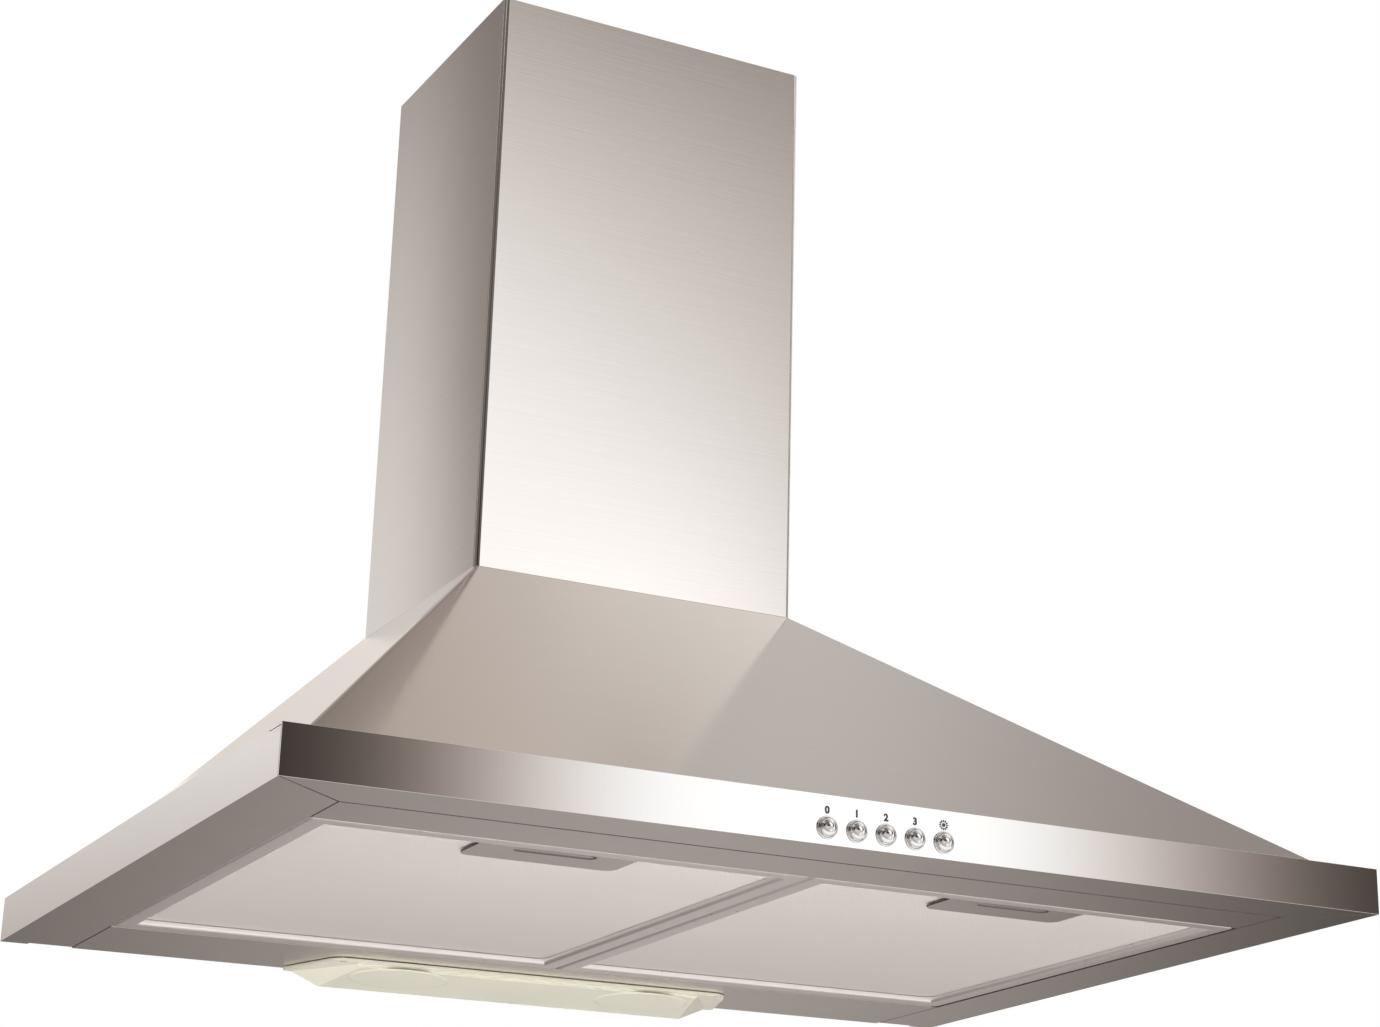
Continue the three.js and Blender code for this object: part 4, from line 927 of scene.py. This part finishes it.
# Each card: centre, size, the way its face is turned, its plain level and slope, its soft spots
# of light, and its tints where it is dim and where it is bright. Fade keeps the left part dim.
plainCard = {"dim": (1.11, 0.98, 0.905, 1), "bright": (0.98, 1.0, 1.02, 1), "slope": (0, 0),
             "spots": [], "narrowest": 0.05}
cards = {
    "apronCard": {
        "at": (-0.1, -2.0, -0.85), "size": (5.0, 1.86), "face": (90, 0, 0), "level": 0.42,
        "spots": [{"at": (-0.3, 0.9), "width": (0.5, 0.6), "strength": 0.3},
                  {"at": (2.25, 0.8), "width": (0.3, 0.4), "strength": 1.2},
                  {"at": (1.1, -0.1), "width": (0.5, 0.45), "strength": 0.7}]},
    "fasciaCard": {
        "at": (-0.1, -2.0, 0.3), "size": (5.0, 0.44), "face": (90, 0, 0), "level": 0.012,
        "dim": (1.18, 0.985, 0.88, 1),
        "spots": [{"at": (0.703, 0.0), "width": (0.143, 9.0), "strength": 0.531},
                  {"at": (1.051, 0.0), "width": (0.259, 9.0), "strength": 1.197},
                  {"at": (-0.7, 0.0), "width": (0.3, 9.0), "strength": 0.55},
                  {"at": (2.4, 0.0), "width": (0.2, 9.0), "strength": 1.4}]},
    "frontCard": {
        "at": (-0.1, -2.0, 1.16), "size": (5.0, 1.28), "face": (90, 0, 0), "level": 0.0,
        "spots": [{"at": (0.148, -0.276), "width": (0.835, 0.545), "strength": 1.387,
                   "lean": -1.034, "widen": 1.131},
                  {"at": (1.095, -0.805), "width": (0.242, 0.321), "strength": 1.10},
                  {"at": (-0.7, 0.0), "width": (0.3, 0.9), "strength": 0.6}],
        "fade": {"start": 0.2, "stop": 0.62, "low": 0.12}},
    "aboveCard": {
        "at": (-0.55, -1.1, 1.8), "size": (2.9, 1.8), "face": (0, 0, 0), "level": 1.0,
        "spots": [{"at": (0.0, -0.2), "width": (0.9, 0.75), "strength": -0.9}]},
    "highCard": {
        "at": (1.4, -2.0, 2.7), "size": (3.0, 1.8), "face": (90, 0, 0), "level": 0.62,
        "slope": (0.41, -0.72), "dim": (1.02, 0.99, 0.97, 1)},
    "skyCard": {
        "at": (2.0, 2.0, 2.5), "size": (4.0, 4.0), "face": (0, 0, 0), "level": 0.285,
        "spots": [{"at": (-0.099, 0.651), "width": (0.471, 1.892), "strength": 0.304,
                   "lean": 0.232}]},
    "sideCard": {
        "at": (-0.45, 0.3, 0.57), "size": (0.6, 0.9), "face": (90, 0, 0), "level": 0.073,
        "spots": [{"at": (0.235, -0.422), "width": (0.066, 0.402), "strength": 0.724,
                   "widen": -0.063},
                  {"at": (0.065, 0.23), "width": (0.05, 0.35), "strength": 0.39}]},
    "lowSideCard": {
        "at": (-0.45, 0.3, 0.01), "size": (0.6, 0.22), "face": (90, 0, 0), "level": 0.687,
        "slope": (0.678, 2.825)},
    "backCard": {
        "at": (0.1, 0.35, 0.2), "size": (0.44, 0.6), "face": (90, 0, 0), "level": 0.83,
        "slope": (0.6, 0.0), "bright": (1.05, 1.0, 0.94, 1)},
    "lowCard": {
        "at": (1.2, 2.0, -0.9), "size": (4.0, 1.5), "face": (90, 0, 0), "level": 0.0,
        "spots": [{"at": (-0.104, 0.179), "width": (0.714, 0.519), "strength": 0.43,
                   "lean": -0.391}]},
    "rightCard": {
        "at": (2.6, -1.05, 0.6), "size": (1.1, 3.6), "face": (90, 0, 90), "level": 1.0,
        "spots": [{"at": (0.0, 0.0), "width": (0.7, 1.3), "strength": -0.97}]},
    "lowLeftCard": {
        "at": (-2.3, 2.0, -0.9), "size": (3.0, 1.5), "face": (90, 0, 0), "level": 0.4},
    "rearFloorCard": {
        "at": (0.5, 4.4, -2.0), "size": (9.0, 8.8), "face": (0, 0, 0), "level": 0.36},
    "leftCard": {
        "at": (-2.6, -0.4, 0.75), "size": (3.2, 4.5), "face": (90, 0, 90), "level": 0.16,
        "spots": [{"at": (0.0, -1.8), "width": (3.0, 0.5), "strength": 0.4}]},
}


def spotGlow(tree, place, spot):  # a soft spot that may lean or widen upwards
    up = calc(tree, "SUBTRACT", place[1], spot["at"][1])
    middle = calc(tree, "MULTIPLY_ADD", up, spot.get("lean", 0.0), spot["at"][0])
    wide = calc(tree, "MULTIPLY_ADD", up, spot.get("widen", 0.0), spot["width"][0])
    wide = calc(tree, "MAXIMUM", wide, plainCard["narrowest"])
    across = calc(tree, "DIVIDE", calc(tree, "SUBTRACT", place[0], middle), wide)
    along = calc(tree, "DIVIDE", up, spot["width"][1])
    reach = calc(tree, "ADD", calc(tree, "POWER", across, 2.0), calc(tree, "POWER", along, 2.0))
    soft = calc(tree, "EXPONENT", calc(tree, "MULTIPLY", reach, -0.5))
    return calc(tree, "MULTIPLY", soft, spot["strength"])


def cardMaterial(name, look):
    material, tree, shader = blankMaterial(name)
    tree.nodes.remove(shader)
    look = {**plainCard, **look}
    place = addNode(tree, "SeparateXYZ", {0: ownPlace(tree)}).outputs
    slopeX, slopeY = look["slope"]
    glow = calc(tree, "MULTIPLY_ADD", place[0], slopeX, look["level"])
    glow = calc(tree, "MAXIMUM", calc(tree, "MULTIPLY_ADD", place[1], slopeY, glow), 0.0)
    for spot in look["spots"]:
        glow = calc(tree, "ADD", glow, spotGlow(tree, place, spot))
    if "fade" in look:
        share = ramp(tree, place[0], **look["fade"], interpolation_type="SMOOTHSTEP")
        glow = calc(tree, "MULTIPLY", glow, share)
    tint = mixColour(tree, glow, look["dim"], look["bright"])
    shine = addNode(tree, "Emission", {"Color": tint, "Strength": glow})
    clear = addNode(tree, "BsdfTransparent")
    mirrored = addNode(tree, "LightPath").outputs["Is Glossy Ray"]
    shown = addNode(tree, "MixShader", {0: mirrored, 1: clear.outputs[0], 2: shine.outputs[0]})
    setInputs(tree, tree.nodes["Material Output"], {"Surface": shown.outputs[0]})
    return material


for name, look in cards.items():
    stagePlane(name, cardMaterial(name, look), look["size"], look["at"], look["face"])

lights = {
    "keyLight": {"at": (1.6, -2.4, 1.8), "aim": (0, -0.2, 0.1), "size": 1.6, "power": 26},
    "fillLight": {"at": (-2.2, -2.0, 0.6), "aim": (0, -0.2, 0.1), "size": 1.8, "power": 14},
    "underLight": {"at": (-0.4, -1.3, -1.4), "aim": (0, -0.25, -0.1), "size": 1.2, "power": 27},
}
for name, look in lights.items():
    data = bpy.data.lights.new(name, "AREA")
    data.size = look["size"]
    data.energy = look["power"]
    light = bpy.data.objects.new(name, data)
    light.location = look["at"]
    aim = Vector(look["aim"]) - light.location
    light.rotation_euler = aim.to_track_quat("-Z", "Y").to_euler()
    light.visible_camera = False
    light.visible_glossy = False
    bpy.context.scene.collection.objects.link(light)

surround = {"level": 0.62, "shown": 1.0}  # as it lights the hood, and as it is seen
world = bpy.data.worlds.new("surround")
bpy.context.scene.world = world
world.use_nodes = True
tree = world.node_tree
path = addNode(tree, "LightPath").outputs
mirrored = calc(tree, "MAXIMUM", path["Is Glossy Ray"], path["Is Transmission Ray"])
seen = calc(tree, "MAXIMUM", path["Is Camera Ray"], mirrored)
strength = spread(tree, seen, surround["level"], surround["shown"])
setInputs(tree, tree.nodes["Background"], {"Color": white, "Strength": strength})
bpy.context.scene.view_settings.view_transform = "Standard"

camera = {"at": (-0.68883, -1.62669, -0.39933), "turn": (110.26139, -0.13556, -30.52534),
          "lens": 75.571, "sensor": 36.0, "shift": (-0.14366, -0.05869)}
view = bpy.data.cameras.new("camera")
view.lens = camera["lens"]
view.sensor_width = camera["sensor"]
view.shift_x, view.shift_y = camera["shift"]
viewer = bpy.data.objects.new("camera", view)
viewer.location = camera["at"]
viewer.rotation_euler = [math.radians(angle) for angle in camera["turn"]]
bpy.context.scene.collection.objects.link(viewer)
bpy.context.scene.camera = viewer
print("studio done")
